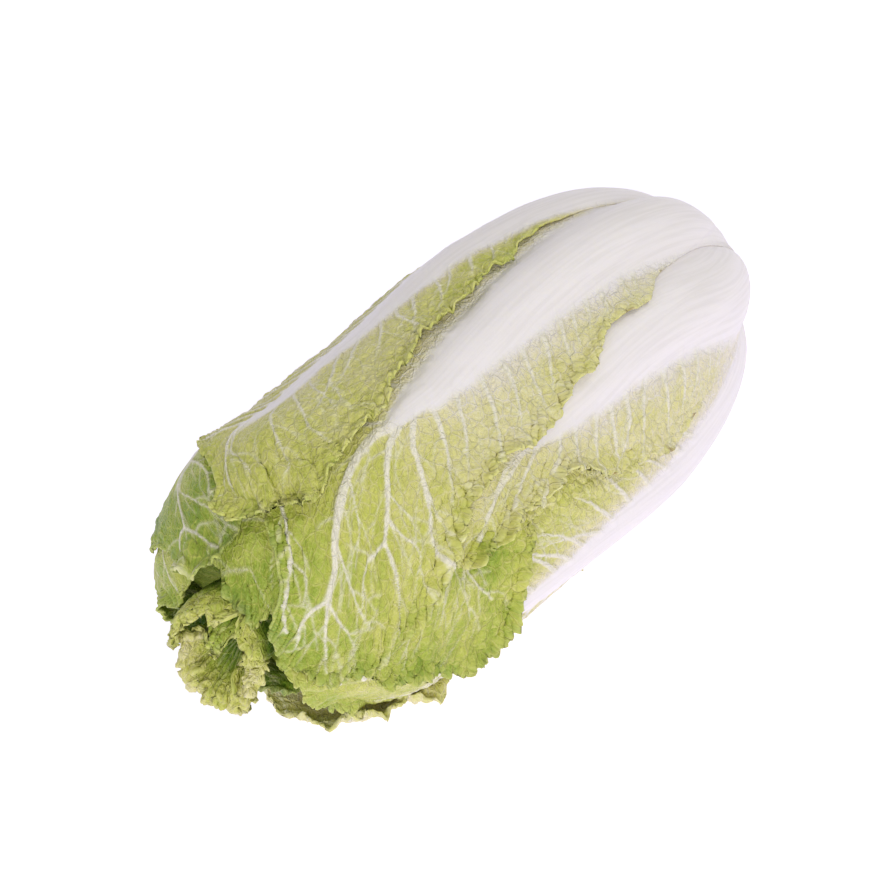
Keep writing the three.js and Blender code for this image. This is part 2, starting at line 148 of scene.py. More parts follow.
def noise(seed, x, y, size):
    """Gradient noise, about -1 to 1, whose lumps are size mm wide."""
    directions = np.random.default_rng(seed).uniform(0, 2 * math.pi, (NOISE_CELLS, NOISE_CELLS))
    x, y = x / size + NOISE_CELLS / 2, y / size + NOISE_CELLS / 2
    ix, iy = np.floor(x).astype(int), np.floor(y).astype(int)
    fx, fy = x - ix, y - iy

    def corner(dx, dy):
        way = directions[(ix + dx) % NOISE_CELLS, (iy + dy) % NOISE_CELLS]
        return np.cos(way) * (fx - dx) + np.sin(way) * (fy - dy)

    sx, sy = fx ** 3 * (fx * (6 * fx - 15) + 10), fy ** 3 * (fy * (6 * fy - 15) + 10)
    low = corner(0, 0) * (1 - sx) + corner(1, 0) * sx
    high = corner(0, 1) * (1 - sx) + corner(1, 1) * sx
    return 1.5 * (low * (1 - sy) + high * sy)


# ---- The ten wrapped leaves -------------------------------------------------------------------
# Each leaf grows from the stump with a thick pale midrib that thins to a vein at its tip, and a
# crinkled blade on both sides. They are listed from the innermost to the outermost.

leaves = []


def leaf(node, middle, high, low, tip, rib, **growth):
    """middle, high and low are the midrib and the two margins as (t, angle); tip is where the blade
    ends as (share of the half width, t); rib is the midrib's half width as (t, mm). growth changes
    how it is finished: frills, rolls, veins and folds, greens, and its mesh (size in mm, fine by t)."""
    row = dict(
        crown=6.0, frill=4.5, frill_high=1.0, frill_low=1.0, roll_high=0.5, roll_low=0.5, size=0.9,
        fine=((LEAF_BASE, 1), (360, 1)), veins=(), folds=(), spots=(), comb=(110, 330), comb_gap=11.5,
        comb_lean=62, comb_width=0.95, crinkle=1.0, green_reach=26, pale_low=0.0,
        edge_green=0.12, comb_low=None, pleats=1.0, hollows=(), ruffle_t=(100, 240), width_at=170.0,
        greens=((28, 0.05), (120, 0.3), (220, 0.6), (340, 0.75)),
    )
    row.update(growth, node=node, middle=middle, high=high, low=low, tip=tip, rib=rib, number=len(leaves))
    leaves.append(row)


# A narrow young leaf beside the open tip, with one white vein.
leaf(
    "leaf_narrow_inner",
    middle=((24, 92), (250, 90), (320, 84), (337, 76), (346, 64), (356, 52)),
    high=((24, 106), (250, 106), (320, 108), (340, 104), (356, 84)),
    low=((24, 78), (250, 76), (320, 60), (337, 50), (356, 30)),
    tip=((-1, 340), (0, 352), (1, 346)),
    rib=((24, 9), (120, 8), (250, 3), (300, 1.2), (320, 0.8), (360, 0.5)),
    crown=1.6, frill=1, size=0.9, fine=((28, 0.2), (290, 0.2), (310, 1), (360, 1)),
    greens=((28, 0.2), (300, 0.66), (350, 0.8)), comb=(300, 350), comb_gap=16, comb_width=0.4, crinkle=2.0,
)

# The leaf under the head on its far side.
leaf(
    "leaf_underside_far",
    middle=((24, 248), (120, 248), (280, 244), (350, 240)),
    high=((24, 294), (120, 292), (300, 292), (360, 290)),
    low=((24, 202), (120, 200), (280, 196), (360, 190)),
    tip=((-1, 346), (0, 362), (1, 342)),
    rib=((24, 15), (80, 25), (150, 17), (220, 8), (260, 4), (360, 1.5)),
    size=1.6, greens=((28, 0.05), (110, 0.3), (200, 0.62), (340, 0.85)),
)

# The lower right leaf: its rib runs along the side of the head and its blade shows pale and netted.
leaf(
    "leaf_right_lower",
    middle=((24, -22), (124, -18), (177, -13), (237, -9), (282, -6), (304, 0), (325, 4), (345, 8)),
    high=((24, 24), (120, 26), (190, 25), (200, 28), (236, 29), (246, 34), (300, 34), (345, 42)),
    low=((24, -66), (120, -64), (240, -58), (300, -48), (345, -38)),
    tip=((-1, 322), (-0.5, 338), (0, 344), (0.6, 349), (1, 342)),
    rib=((24, 15), (80, 25), (124, 22), (177, 15), (237, 7), (282, 3.6), (310, 1.6), (345, 0.6)),
    size=0.82, fine=((28, 0.6), (150, 0.8), (200, 1), (345, 1)), comb=(125, 330), comb_low=(125, 285),
    comb_gap=11, comb_width=1.8, green_reach=18, crinkle=1.1,
    greens=((28, 0.0), (120, 0.24), (190, 0.45), (240, 0.52), (300, 0.6), (345, 0.68)),
    folds=(
        (((345, 39), (340, 30), (334, 20), (336, 11), (343, 16)), 5.0, 5.0),
    ),
    hollows=((254, 24, 10, 4.0),),
)

# A leaf that comes out between two others near the tip and spreads down over the lower right leaf.
leaf(
    "leaf_right_tip",
    middle=((24, 44), (200, 42), (245, 41), (270, 34), (295, 22), (325, 16)),
    high=((24, 62), (200, 64), (260, 72), (300, 60), (330, 46)),
    low=((24, 26), (200, 30), (228, 29), (240, 15), (252, -7), (263, -14), (279, -13), (296, -6),
         (311, 1), (322, 8)),
    tip=((-1, 316), (-0.5, 326), (0, 330), (1, 322)),
    rib=((24, 9), (120, 10), (200, 7), (240, 4), (256, 1.5), (268, 0.5), (330, 0.5)),
    crown=2.5, frill=3.5, size=0.7, fine=((28, 0.2), (215, 0.2), (235, 1), (330, 1)), width_at=290.0,
    comb=(330, 330), greens=((28, 0.1), (230, 0.5), (250, 0.6), (330, 0.68)), green_reach=14,
    crinkle=1.8, roll_low=0.55, hollows=((254, 26, 11, 4.0),),
    veins=(
        (((240, 40), (259, 37), (264, 28), (265, 23), (263, 17), (258, 9)), 0.7, 0.4),
        (((256, 38), (265, 28), (269, 20), (270, 7)), 0.5, 0.3),
        (((258, 40), (267, 36), (272, 30), (278, 22), (285, 12)), 0.6, 0.3),
        (((272, 30), (285, 24), (297, 15), (305, 6)), 0.5, 0.25),
    ),
)

# The lower leaf at the back, which reaches furthest round the tip.
leaf(
    "leaf_back_lower",
    middle=((24, 208), (200, 202), (290, 186), (320, 168), (335, 156), (350, 142), (366, 124)),
    high=((24, 254), (200, 250), (300, 236), (350, 212), (368, 200)),
    low=((24, 164), (200, 156), (290, 142), (335, 122), (350, 112), (366, 92)),
    tip=((-1, 354), (0, 368), (1, 362)),
    rib=((24, 15), (80, 25), (150, 17), (220, 8), (260, 4), (310, 1.6), (335, 0.8), (366, 0.5)),
    frill=2, size=1.1, greens=((28, 0.05), (110, 0.35), (200, 0.6), (300, 0.7), (366, 0.72)),
    fine=((28, 0.6), (250, 0.8), (320, 1.1), (366, 1.1)), crinkle=0.8,
    veins=(
        (((342, 150), (353, 141), (360, 133), (364, 120)), 0.7, 0.4),
    ),
)

# The upper leaf at the back, its tip wrapped over the end of the head with curled yellow edges.
leaf(
    "leaf_back_upper",
    middle=((24, 170), (240, 160), (290, 150), (320, 142), (335, 127), (350, 112)),
    high=((24, 214), (240, 208), (300, 194), (335, 172), (354, 150)),
    low=((24, 126), (240, 118), (300, 108), (322, 94), (340, 84), (352, 84)),
    tip=((-1, 342), (-0.4, 352), (0, 353), (0.5, 348), (1, 336)),
    rib=((24, 15), (80, 25), (150, 17), (220, 8), (260, 4), (315, 2.2), (330, 0.6), (350, 0.6)),
    crown=4.0, frill=2.0, frill_high=0.0, roll_high=0.0, size=0.9, comb=(110, 290), comb_width=0.8,
    crinkle=0.8, pleats=0.1,
    fine=((28, 0.5), (250, 0.6), (300, 1.2), (354, 1.2)), roll_low=0.7, edge_green=0.0,
    greens=((28, 0.05), (110, 0.35), (200, 0.55), (300, 0.8), (350, 0.85)),
    veins=(
        (((318, 142), (328, 131), (337, 118), (338, 109), (339, 99), (338, 91)), 1.0, 0.45),
        (((337, 118), (341, 121), (347, 118), (351, 111), (351, 99)), 0.7, 0.35),
        (((318, 140), (323, 134), (326, 120), (327, 110), (329, 98), (328, 91)), 0.6, 0.35),
        (((300, 148), (305, 145), (311, 128), (316, 120), (321, 113), (323, 107)), 0.8, 0.4),
    ),
    folds=(
        (((351, 108), (352, 98), (348, 90), (343, 86)), 4.0, 4.5),
        (((345, 106), (346, 97), (341, 91)), 3.2, 3.0),
    ),
)

# The right leaf: the second broad white rib, and a blade with straight side veins like a comb.
leaf(
    "leaf_right_upper",
    middle=((24, 40), (75, 42), (115, 49), (147, 51), (178, 49), (202, 48), (224, 46), (250, 43), (290, 42)),
    high=((24, 84), (75, 86), (200, 84), (290, 74)),
    low=((24, -4), (81, 13), (125, 12), (141, 9), (162, 14), (180, 18), (192, 24), (202, 30), (236, 31),
         (248, 27), (261, 28), (290, 30)),
    tip=((-1, 266), (0, 278), (1, 272)),
    rib=((24, 16), (75, 24), (115, 20), (147, 16), (178, 11), (200, 7), (216, 3), (230, 0.9), (290, 0.5)),
    frill=6.0, size=0.75, fine=((28, 0.5), (90, 0.8), (130, 1), (290, 1)), comb=(85, 196), comb_gap=10.5,
    comb_width=1.6, green_reach=16, crinkle=1.2, roll_low=0.9, edge_green=0.04, hollows=((256, 29, 8, 3.0),),
    greens=((28, 0.0), (100, 0.2), (160, 0.32), (220, 0.36), (290, 0.44)),
    veins=(
        (((200, 46), (205, 39), (214, 35), (228, 31)), 1.3, 0.5),
        (((206, 47), (214, 44), (227, 39), (239, 34)), 1.4, 0.6),
        (((214, 47), (222, 45), (238, 41), (250, 37)), 1.4, 0.6),
        (((220, 46), (230, 45), (242, 40), (257, 32)), 1.4, 0.6),
    ),
    spots=((150, 9, 2.6), (128, 12, 2), (186, 20, 2)),
)

# The top leaf: a broad white midrib down the middle, which opens into a fan of strong white veins.
leaf(
    "leaf_top",
    middle=((24, 81), (121, 86), (168, 85), (204, 82), (234, 79), (256, 78), (290, 66), (309, 54),
            (322, 46), (350, 40)),
    high=((24, 124), (120, 122), (250, 116), (290, 108), (305, 99), (318, 86), (332, 75), (350, 62)),
    low=((24, 36), (60, 60), (103, 64), (130, 59), (155, 59), (175, 53), (193, 50), (217, 46), (240, 47),
         (254, 43), (268, 35), (284, 24), (301, 16), (325, 11), (350, 10)),
    tip=((-1, 334), (-0.5, 346), (0, 347), (0.5, 336), (1, 316)),
    rib=((24, 16), (90, 22), (121, 20), (168, 17), (204, 12.5), (234, 8), (250, 4.5), (262, 1.4), (272, 0.1),
         (350, 0.1)),
    size=0.72, fine=((28, 0.35), (120, 0.6), (190, 0.9), (240, 1.1), (350, 1.1)), comb=(120, 248),
    frill=3.0, comb_gap=10.5, comb_width=1.6, comb_lean=68, green_reach=15, crinkle=1.2, roll_low=0.6,
    greens=((28, 0.0), (100, 0.2), (170, 0.3), (230, 0.34), (280, 0.55), (345, 0.76)), pale_low=0.06,
    veins=(
        (((238, 79), (248, 79), (257, 77), (265, 78), (274, 77), (284, 74), (292, 70), (300, 65), (307, 59),
          (312, 53), (320, 46)), 2.6, 1.7),
        (((320, 46), (326, 37), (330, 28), (333, 18)), 0.9, 0.4),
        (((321, 45), (328, 45), (334, 42), (337, 38), (342, 32)), 0.9, 0.4),
        (((321, 43), (321, 36), (320, 30), (320, 22)), 0.7, 0.35),
        (((305, 61), (309, 50), (312, 38), (312, 27)), 0.7, 0.35),
        (((284, 74), (290, 66), (295, 59), (300, 54), (305, 49)), 0.55, 0.3),
        (((248, 78), (257, 75), (264, 73), (272, 68), (278, 62), (284, 56), (290, 50)), 1.9),
        (((290, 50), (292, 44), (293, 40), (296, 33), (298, 29), (303, 20)), 1.0, 0.5),
        (((290, 50), (296, 49), (300, 48), (306, 43), (311, 36)), 0.8, 0.4),
        (((278, 62), (277, 55), (277, 49), (281, 43)), 0.5, 0.3),
        (((284, 56), (283, 48), (281, 43), (283, 38), (285, 32), (284, 24)), 0.6, 0.3),
        (((246, 77), (257, 69), (260, 64), (264, 57), (269, 49), (274, 43), (275, 37), (273, 31)), 1.6, 0.8),
        (((262, 60), (266, 50), (267, 42), (265, 35)), 0.6, 0.3),
        (((306, 90), (318, 72), (324, 65), (330, 59), (335, 54), (338, 48), (340, 43)), 1.0, 0.7),
        (((323, 66), (322, 59), (323, 55), (329, 49)), 0.55, 0.3),
        (((257, 78), (268, 86), (280, 92), (296, 96)), 0.9, 0.5),
    ),
    folds=(
        (((262, 37), (258, 40), (253, 38)), 4.0, 3.5),
        (((270, 36), (276, 33), (283, 28)), 3.0, 2.0),
    ),
    spots=((140, 59.5, 2.2), (145, 59, 1.8), (151, 58.5, 1.5), (108, 63, 1.6)),
)

# The left leaf, laid over the top leaf, its side veins arching over towards its crumpled lower edge.
leaf(
    "leaf_left",
    middle=((24, 127), (151, 127), (195, 128), (231, 127), (265, 126), (290, 125), (303, 119), (318, 106)),
    high=((24, 172), (151, 170), (240, 166), (290, 152), (312, 128)),
    low=((24, 96), (80, 106), (111, 108), (127, 107), (153, 102), (183, 97), (205, 95), (227, 91),
         (242, 86), (254, 82), (274, 82), (286, 77), (298, 75), (326, 81)),
    tip=((-1, 308), (-0.6, 326), (-0.2, 328), (0.2, 320), (0.5, 312), (1, 292)),
    rib=((24, 16), (95, 21), (151, 17), (195, 12), (231, 8), (265, 5), (290, 2.4), (300, 0.5), (310, 0.1),
         (320, 0.1)),
    crown=3.5, frill=3.0, frill_high=0.0, roll_high=0.0, size=0.75,
    fine=((28, 0.5), (120, 0.8), (180, 1), (318, 1)), comb=(110, 290), comb_low=(110, 243), comb_gap=10,
    comb_lean=58, comb_width=1.5, green_reach=10, crinkle=1.3, edge_green=0.06,
    greens=((28, 0.02), (100, 0.42), (150, 0.54), (200, 0.47), (240, 0.42), (318, 0.58)),
    veins=(
        (((284, 125), (293, 125), (301, 121), (308, 114), (314, 107), (317, 102)), 1.3, 0.5),
        (((293, 124), (302, 117), (305, 107), (308, 98)), 0.8, 0.4),
        (((250, 124), (256, 118), (260, 111), (262, 103), (265, 96)), 0.8, 0.4),
        (((256, 104), (260, 97), (262, 90)), 0.5, 0.3),
        (((257, 124), (264, 120), (271, 109), (276, 101), (279, 95), (279, 85)), 1.0, 0.4),
        (((268, 124), (276, 119), (284, 111), (289, 104), (294, 95), (297, 90), (301, 88)), 1.0, 0.4),
    ),
    folds=(
        (((300, 80), (296, 84), (302, 90), (300, 97)), 4.0, 3.0),
        (((312, 88), (308, 94), (312, 101), (309, 107)), 4.0, 3.0),
    ),
)

# The outermost leaf, underneath: its tip has come away and lies on the surface with its inside up.
leaf(
    "leaf_underside_flopped",
    middle=((24, -82), (120, -84), (250, -88), (330, -92)),
    high=((24, -38), (120, -40), (200, -44), (250, -52), (262, -49), (278, -47), (292, -51), (305, -54),
          (322, -66)),
    low=((24, -126), (120, -128), (260, -122), (322, -100)),
    tip=((-1, 306), (0, 318), (0.5, 319), (1, 313)),
    rib=((24, 15), (80, 26), (150, 22), (220, 14), (255, 7), (285, 2.5), (320, 0.6)),
    size=0.85, fine=((28, 0.4), (225, 0.5), (245, 1.2), (320, 1.2)), frill=6.0, roll_low=0.8, roll_high=0.8,
    # Its visible tip part is painted pale: painted light where it lies in the head's shade.
    greens=((28, 0.0), (110, 0.04), (215, 0.1), (250, 0.24), (320, 0.2)), crinkle=1.8, ruffle_t=(236, 278),
)

MARGIN_WAVE, MARGIN_WAVE_LENGTHS, MARGIN_WAVE_T = 2.2, (6.1, 3.7), (60, 180)
TIP_WAVE, TIP_WAVE_TURNS, TIP_TURN = 1.54, 8.5, 45
FINE_WAVE, FINE_WAVE_MM = 0.9, 3.4
NARROWEST, WAVE_RADIUS = 12, 30
HOLD, FADE_OUT = 3.0, 14.0


def girth(t):
    """The radius that blades are measured round, never so small that they close up at the ends."""
    return np.maximum(radius_at(t), NARROWEST)


def span(row, t, high):
    """Degrees from the midrib to a margin, whose outline waves and is finely toothed."""
    middle = curve(row["middle"], t)
    drawn = np.where(high, curve(row["high"], t) - middle, middle - curve(row["low"], t))
    phase = row["middle"][0][1] + np.where(high, 2.0, 0.0)
    long, short = MARGIN_WAVE_LENGTHS
    wave = 0.65 * np.sin(t / long + phase) + 0.35 * np.sin(t / short + 2 * phase)
    fine = noise(row["number"], t, phase * 9, FINE_WAVE_MM)
    mm = (MARGIN_WAVE * wave + FINE_WAVE * fine) * fade(*MARGIN_WAVE_T, t)
    return drawn + np.degrees(mm / np.maximum(radius_at(t), WAVE_RADIUS))


def tip_end(row, u):
    """Where the blade ends, as t, at a share of its half width."""
    wave = TIP_WAVE * np.sin(TIP_WAVE_TURNS * u + row["middle"][0][1])
    fine = noise(row["number"] + 40, u * TIP_TURN, u * 0, FINE_WAVE_MM)
    return curve(row["tip"], u) + wave + FINE_WAVE * fine


def half_width(row, t, u):
    return np.radians(span(row, t, u > 0)) * girth(t)


def across(row, t, angle):
    """The share of the half width at an angle, 0 on the midrib and 1 or -1 on a margin."""
    off = (angle - curve(row["middle"], t) + 180) % 360 - 180
    return off / span(row, t, off > 0)


def midrib(row, t):
    """The midrib's half width in mm."""
    return np.maximum(curve(row["rib"], t), 0.05)


def thickness(row, t, u):
    reach = np.abs(np.clip(u, -1, 1)) * half_width(row, t, u)
    in_rib = np.clip(1 - (reach / midrib(row, t)) ** 2, 0, 1)
    crown = row["crown"] * np.minimum(1, midrib(row, t) / FULL_RIB) ** 1.5
    return BLADE + crown * in_rib ** 1.2


def presence(row, t, angle, hold=HOLD, away=FADE_OUT):
    """1 where the leaf lies and hold mm round it, then falling to 0."""
    u = across(row, t, angle)
    aside = np.maximum(0, np.abs(u) - 1) * half_width(row, t, u)
    beyond = np.maximum(0, t - tip_end(row, np.clip(u, -1, 1)))
    return 1 - fade(hold, hold + away, np.hypot(aside, beyond))


def stack(count, t, angle):
    """How far the leaves below number count raise the surface at a place."""
    rise = np.zeros_like(t)
    for row in leaves[:count]:
        u = np.clip(across(row, t, angle), -1, 1)
        rise += presence(row, t, angle) * (thickness(row, t, u) + LAYER_GAP)
    return rise


mean_t, mean_angle = np.meshgrid(np.arange(0, OUTLINE_END + 10, 10), np.arange(0, 360, 10), indexing="ij")
MEAN_STACK = list(zip(mean_t[:, 0], stack(len(leaves), mean_t, mean_angle).mean(1)))


# Veins are drawn over the flattened blade, aside and t in mm, and read back by its points.
MAP_STEP = 0.5
MAP_ASIDE, MAP_T = 110.0, (20.0, 380.0)
VEIN_NEAR = 9.0
THINNEST_DRAWN, VEIN_SOFTNESS = 0.5, 0.4


def map_span(low, high, start, count):
    """The cells of one side of the map from one place to another."""
    return [int(np.clip((place - start) / MAP_STEP, 0, count)) for place in (low, high)]


def vein_map(strokes):
    """Height and cover of the strokes and the distance to the nearest, on a grid over the blade."""
    shape = (int(2 * MAP_ASIDE / MAP_STEP), int((MAP_T[1] - MAP_T[0]) / MAP_STEP))
    height, cover, near = np.zeros(shape), np.zeros(shape), np.full(shape, VEIN_NEAR)
    for path, widths, tall in strokes:
        for p, q, width_p, width_q in zip(path[:-1], path[1:], widths[:-1], widths[1:]):
            low, high = np.minimum(p, q) - VEIN_NEAR, np.maximum(p, q) + VEIN_NEAR
            i0, i1 = map_span(low[0], high[0], -MAP_ASIDE, shape[0])
            j0, j1 = map_span(low[1], high[1], MAP_T[0], shape[1])
            if i0 == i1 or j0 == j1:
                continue
            a = (np.arange(i0, i1) * MAP_STEP - MAP_ASIDE)[:, None] - p[0]
            b = (np.arange(j0, j1) * MAP_STEP + MAP_T[0])[None, :] - p[1]
            d = q - p
            s = np.clip((a * d[0] + b * d[1]) / max(d @ d, 1e-9), 0, 1)
            away = np.hypot(a - s * d[0], b - s * d[1])
            width = width_p + (width_q - width_p) * s
            drawn = np.maximum(width, THINNEST_DRAWN)
            box = (slice(i0, i1), slice(j0, j1))
            dome = np.sqrt(np.clip(1 - (away / (1.3 * drawn)) ** 2, 0, 1))
            height[box] = np.maximum(height[box], dome * width * tall)
            shown = (width / drawn) ** 0.6 * (1 - fade(drawn - VEIN_SOFTNESS, drawn + VEIN_SOFTNESS, away))
            cover[box] = np.maximum(cover[box], shown)
            near[box] = np.minimum(near[box], np.maximum(away - width, 0))
    return height, cover, near


def read_map(grid, aside, t):
    i = np.clip((aside + MAP_ASIDE) / MAP_STEP, 0, grid.shape[0] - 1.001)
    j = np.clip((t - MAP_T[0]) / MAP_STEP, 0, grid.shape[1] - 1.001)
    i0, j0 = i.astype(int), j.astype(int)
    fi, fj = i - i0, j - j0
    low = grid[i0, j0] * (1 - fi) + grid[i0 + 1, j0] * fi
    high = grid[i0, j0 + 1] * (1 - fi) + grid[i0 + 1, j0 + 1] * fi
    return low * (1 - fj) + high * fj


def flatten(row, t, angle):
    """How far aside of the midrib a place lies, in mm."""
    return np.radians(angle - curve(row["middle"], t)) * girth(t)


VEIN_STEP = 2.5
BRANCH_EVERY, FORK_EVERY, FORK_ANGLE = (8, 13), (5, 9), (0.6, 0.95)
BRANCH_SHARE, BRANCH_WOBBLE = (0.35, 0.55), 0.07
THINNEST_VEIN, COMB_END = 0.2, 0.3
BRANCH_BEND, COMB_BEND, COMB_WANDER = 0.5, 0.35, 4
RIB_SIDE = 0.85


def branch(rng, start, heading, length, widths, bend, order):
    """A vein and its side branches as strokes; heading is in radians from the tip direction."""
    count = max(3, int(length / VEIN_STEP))
    path, here, way = [np.array(start, float)], np.array(start, float), heading
    strokes, since, side = [], 0.0, rng.choice([-1, 1])
    for k in range(count):
        way += bend / count + rng.normal(0, BRANCH_WOBBLE)
        here = here + VEIN_STEP * np.array([math.sin(way), math.cos(way)])
        path.append(here)
        since += VEIN_STEP
        if order > 0 and since > rng.uniform(*BRANCH_EVERY) and k < count - 2:
            left = 1 - k / count
            strokes += branch(
                rng, here, way + side * rng.uniform(*FORK_ANGLE),
                length * rng.uniform(*BRANCH_SHARE) * left + 6,
                (0.25 + 0.12 * widths[0] * left, THINNEST_VEIN), -side * BRANCH_BEND, order - 1,
            )
            since, side = 0.0, -side
    # A side vein is broad where it leaves its parent and thins along its length.
    left = (1 - np.linspace(0, 1, len(path))) ** 1.2
    strokes.append((path, widths[1] + (widths[0] - widths[1]) * left, 0.8))
    return strokes


def smooth_line(row, path):
    """A drawn path of (t, angle) as a smooth line over the flattened blade."""
    t, angle = np.array(path, float).T
    places = np.arange(len(t))
    fine = np.linspace(0, len(t) - 1, 6 * len(t))
    t, angle = curve(list(zip(places, t)), fine), curve(list(zip(places, angle)), fine)
    return np.stack([flatten(row, t, angle), t], -1)


def drawn_veins(row, rng):
    """The veins listed for the leaf, with branches of their own on both sides."""
    strokes = []
    for path, *widths in row["veins"]:
        start_width, end_width = widths if len(widths) == 2 else (widths[0], widths[0] * 0.6)
        line = smooth_line(row, path)
        strokes.append((line, np.linspace(start_width, end_width, len(line)), 0.7))
        travelled = np.concatenate([[0], np.cumsum(np.hypot(*np.diff(line, axis=0).T))])
        side, next_at = 1, rng.uniform(*FORK_EVERY)
        while next_at < travelled[-1] - 2:
            k = int(np.searchsorted(travelled, next_at))
            way = math.atan2(*(line[k] - line[k - 1]))
            strokes += branch(
                rng, line[k], way + side * rng.uniform(*FORK_ANGLE), rng.uniform(10, 24),
                (0.25 + start_width * 0.08, THINNEST_VEIN), -side * BRANCH_BEND, 1,
            )
            side, next_at = -side, next_at + rng.uniform(*FORK_EVERY)
    return strokes


def leaf_veins(row):
    """The drawn veins, and a comb of side veins from both sides of the midrib."""
    rng = np.random.default_rng(100 + row["number"])
    strokes = drawn_veins(row, rng)
    for side in (-1, 1):
        t, last = row["comb_low"] if side < 0 and row["comb_low"] else row["comb"]
        while t < last:
            reach = float(half_width(row, np.array(t), np.array(side)))
            rib = float(midrib(row, np.array(t)))
            lean = side * math.radians(row["comb_lean"] + rng.normal(0, COMB_WANDER))
            width = row["comb_width"] * rng.uniform(0.8, 1.15)
            if reach > rib + 6:
                strokes += branch(
                    rng, (side * rib * RIB_SIDE, t), lean, (reach - rib * RIB_SIDE) * 1.1,
                    (width, COMB_END), -side * COMB_BEND, 2,
                )
            t += row["comb_gap"] * rng.uniform(0.75, 1.25)
    return strokes


def fold_strokes(row):
    strokes = []
    for path, width, tall in row["folds"]:
        line = smooth_line(row, path)
        strokes.append((line, np.linspace(width, 0.8 * width, len(line)), tall / width))
    return strokes


# The outermost leaf leaves the head near its tip and lies along the surface below it, inside up. It
# climbs towards the head's underside before it turns down to its ruffled margin.
FLOOR_RADIUS = 73.0
FLOOR_CLEAR = 0.15
PEEL_T, PEEL_LINE_T, PEEL_X = (236, 278), 273, -80.0
FLOOR_TIP_T, FLOOR_TIP_X = 318, -126.0
CLIMB, CLIMB_CLEAR = 18.0, 7.5
CLIMB_ASIDE, CLIMB_T = (43, 60), (307, 326)
SIDE_RIM, TIP_RIM, RIPPLE_ASIDE = (24, 52), (296, 318), (10, 40)
SIDE_CURL, TIP_CURL = 3, 2


def on_surface(point, t, angle, lift):
    """Points of the outermost leaf, moved from the head to the surface where it has peeled away."""
    peel = fade(*PEEL_T, t)[..., None]
    aside = np.radians(angle + 90) * FLOOR_RADIUS
    x = np.interp(t, outline_t, outline_x)
    on_line = PEEL_X + (t - PEEL_LINE_T) * (FLOOR_TIP_X - PEEL_X) / (FLOOR_TIP_T - PEEL_LINE_T)
    x = np.where(x < PEEL_X, on_line, x)
    at_side, at_tip = fade(*SIDE_RIM, np.abs(aside)), fade(*TIP_RIM, t)
    edge = at_side + 0.6 * at_tip
    ripple = 1.6 * np.sin(aside / 9 + t / 11) + 1.2 * np.sin(aside / 5 - t / 7)
    ripple += 1.4 * noise(9, aside, t, 7)
    ruffle = (4.2 * np.abs(noise(5, aside, t, 8.5)) + 2.4 * np.abs(noise(6, aside, t, 4.5))) * edge
    width_here = np.interp(-x, -outline_x, outline_r)
    room = AXIS_HEIGHT - np.sqrt(np.maximum(width_here ** 2 - aside ** 2, 0))
    climb = np.clip(room - CLIMB_CLEAR, 0, CLIMB)
    climb *= (1 - fade(*CLIMB_ASIDE, np.abs(aside))) * (1 - fade(*CLIMB_T, t))
    curl = SIDE_CURL * at_side + TIP_CURL * at_tip
    z = np.maximum(0, curl + climb + ripple * fade(*RIPPLE_ASIDE, np.abs(aside)) + ruffle) + lift
    flat = np.stack([x + 1.5 * noise(3, aside, t, 9) * edge, -aside, z], -1)
    return point * (1 - peel) + flat * peel


def add_grid(name, points, faces, values, plane, bake):
    """One mesh object in metres with its point values, its flat place in mm and its bake map."""
    mesh = bpy.data.meshes.new(name)
    mesh.from_pydata(((points + HEAD_AT) * MM).tolist(), [], faces)
    mesh.shade_smooth()
    for key, value in values.items():
        field = mesh.attributes.new(key, "FLOAT", "POINT")
        field.data.foreach_set("value", np.ascontiguousarray(value, np.float32))
    flat = mesh.attributes.new("flat_mm", "FLOAT_VECTOR", "POINT")
    flat.data.foreach_set("vector", np.ascontiguousarray(plane, np.float32).ravel())
    uv = mesh.uv_layers.new(name="OFBake")
    corners = np.empty(len(mesh.loops), np.int32)
    mesh.loops.foreach_get("vertex_index", corners)
    uv.uv.foreach_set("vector", np.ascontiguousarray(bake[corners], np.float32).ravel())
    made = bpy.data.objects.new(name, mesh)
    bpy.context.scene.collection.objects.link(made)
    return made


def sheet_faces(grid):
    """Quads between the neighbours in a grid of point numbers."""
    return np.stack([grid[:-1, :-1], grid[:-1, 1:], grid[1:, 1:], grid[1:, :-1]], -1).reshape(-1, 4)


def blade_faces(rows, columns):
    """Faces of a closed blade: a fine outer side, an inner side at half the count, and its rim."""
    outer = np.arange((rows + 1) * (columns + 1)).reshape(rows + 1, columns + 1)
    inner = outer.size + np.arange((rows // 2 + 1) * (columns // 2 + 1))
    inner = inner.reshape(rows // 2 + 1, columns // 2 + 1)
    faces = sheet_faces(outer)[:, ::-1].tolist() + sheet_faces(inner).tolist()
    rims = (
        (outer[0], inner[0], False), (outer[-1], inner[-1], True),
        (outer[:, 0], inner[:, 0], True), (outer[:, -1], inner[:, -1], False),
    )
    for fine, coarse, turned in rims:
        for k in range(len(coarse) - 1):
            a, b, c = fine[2 * k], fine[2 * k + 1], fine[2 * k + 2]
            p, q = coarse[k], coarse[k + 1]
            ring = [(a, b, p), (b, q, p), (b, c, q)]
            faces += [[int(v) for v in (f[::-1] if turned else f)] for f in ring]
    return faces


def both_sides(outer, inner, fields, plane, bake, bake_shift):
    """The points, values, flat places and bake places of a closed blade, whose inner side keeps
    every second point of its outer side."""
    def joined(first, second):
        return np.concatenate([part.reshape(-1, *part.shape[2:]) for part in (first, second[::2, ::2])])

    values = {key: joined(field, field) for key, field in fields.items()}
    values["inside"] = joined(np.zeros(outer.shape[:2]), np.ones(inner.shape[:2]))
    plane = np.stack([*plane, np.zeros_like(plane[0])], -1)
    bake = np.stack(bake, -1)
    return joined(outer, inner), values, joined(plane, plane), joined(bake, bake + (bake_shift, 0))


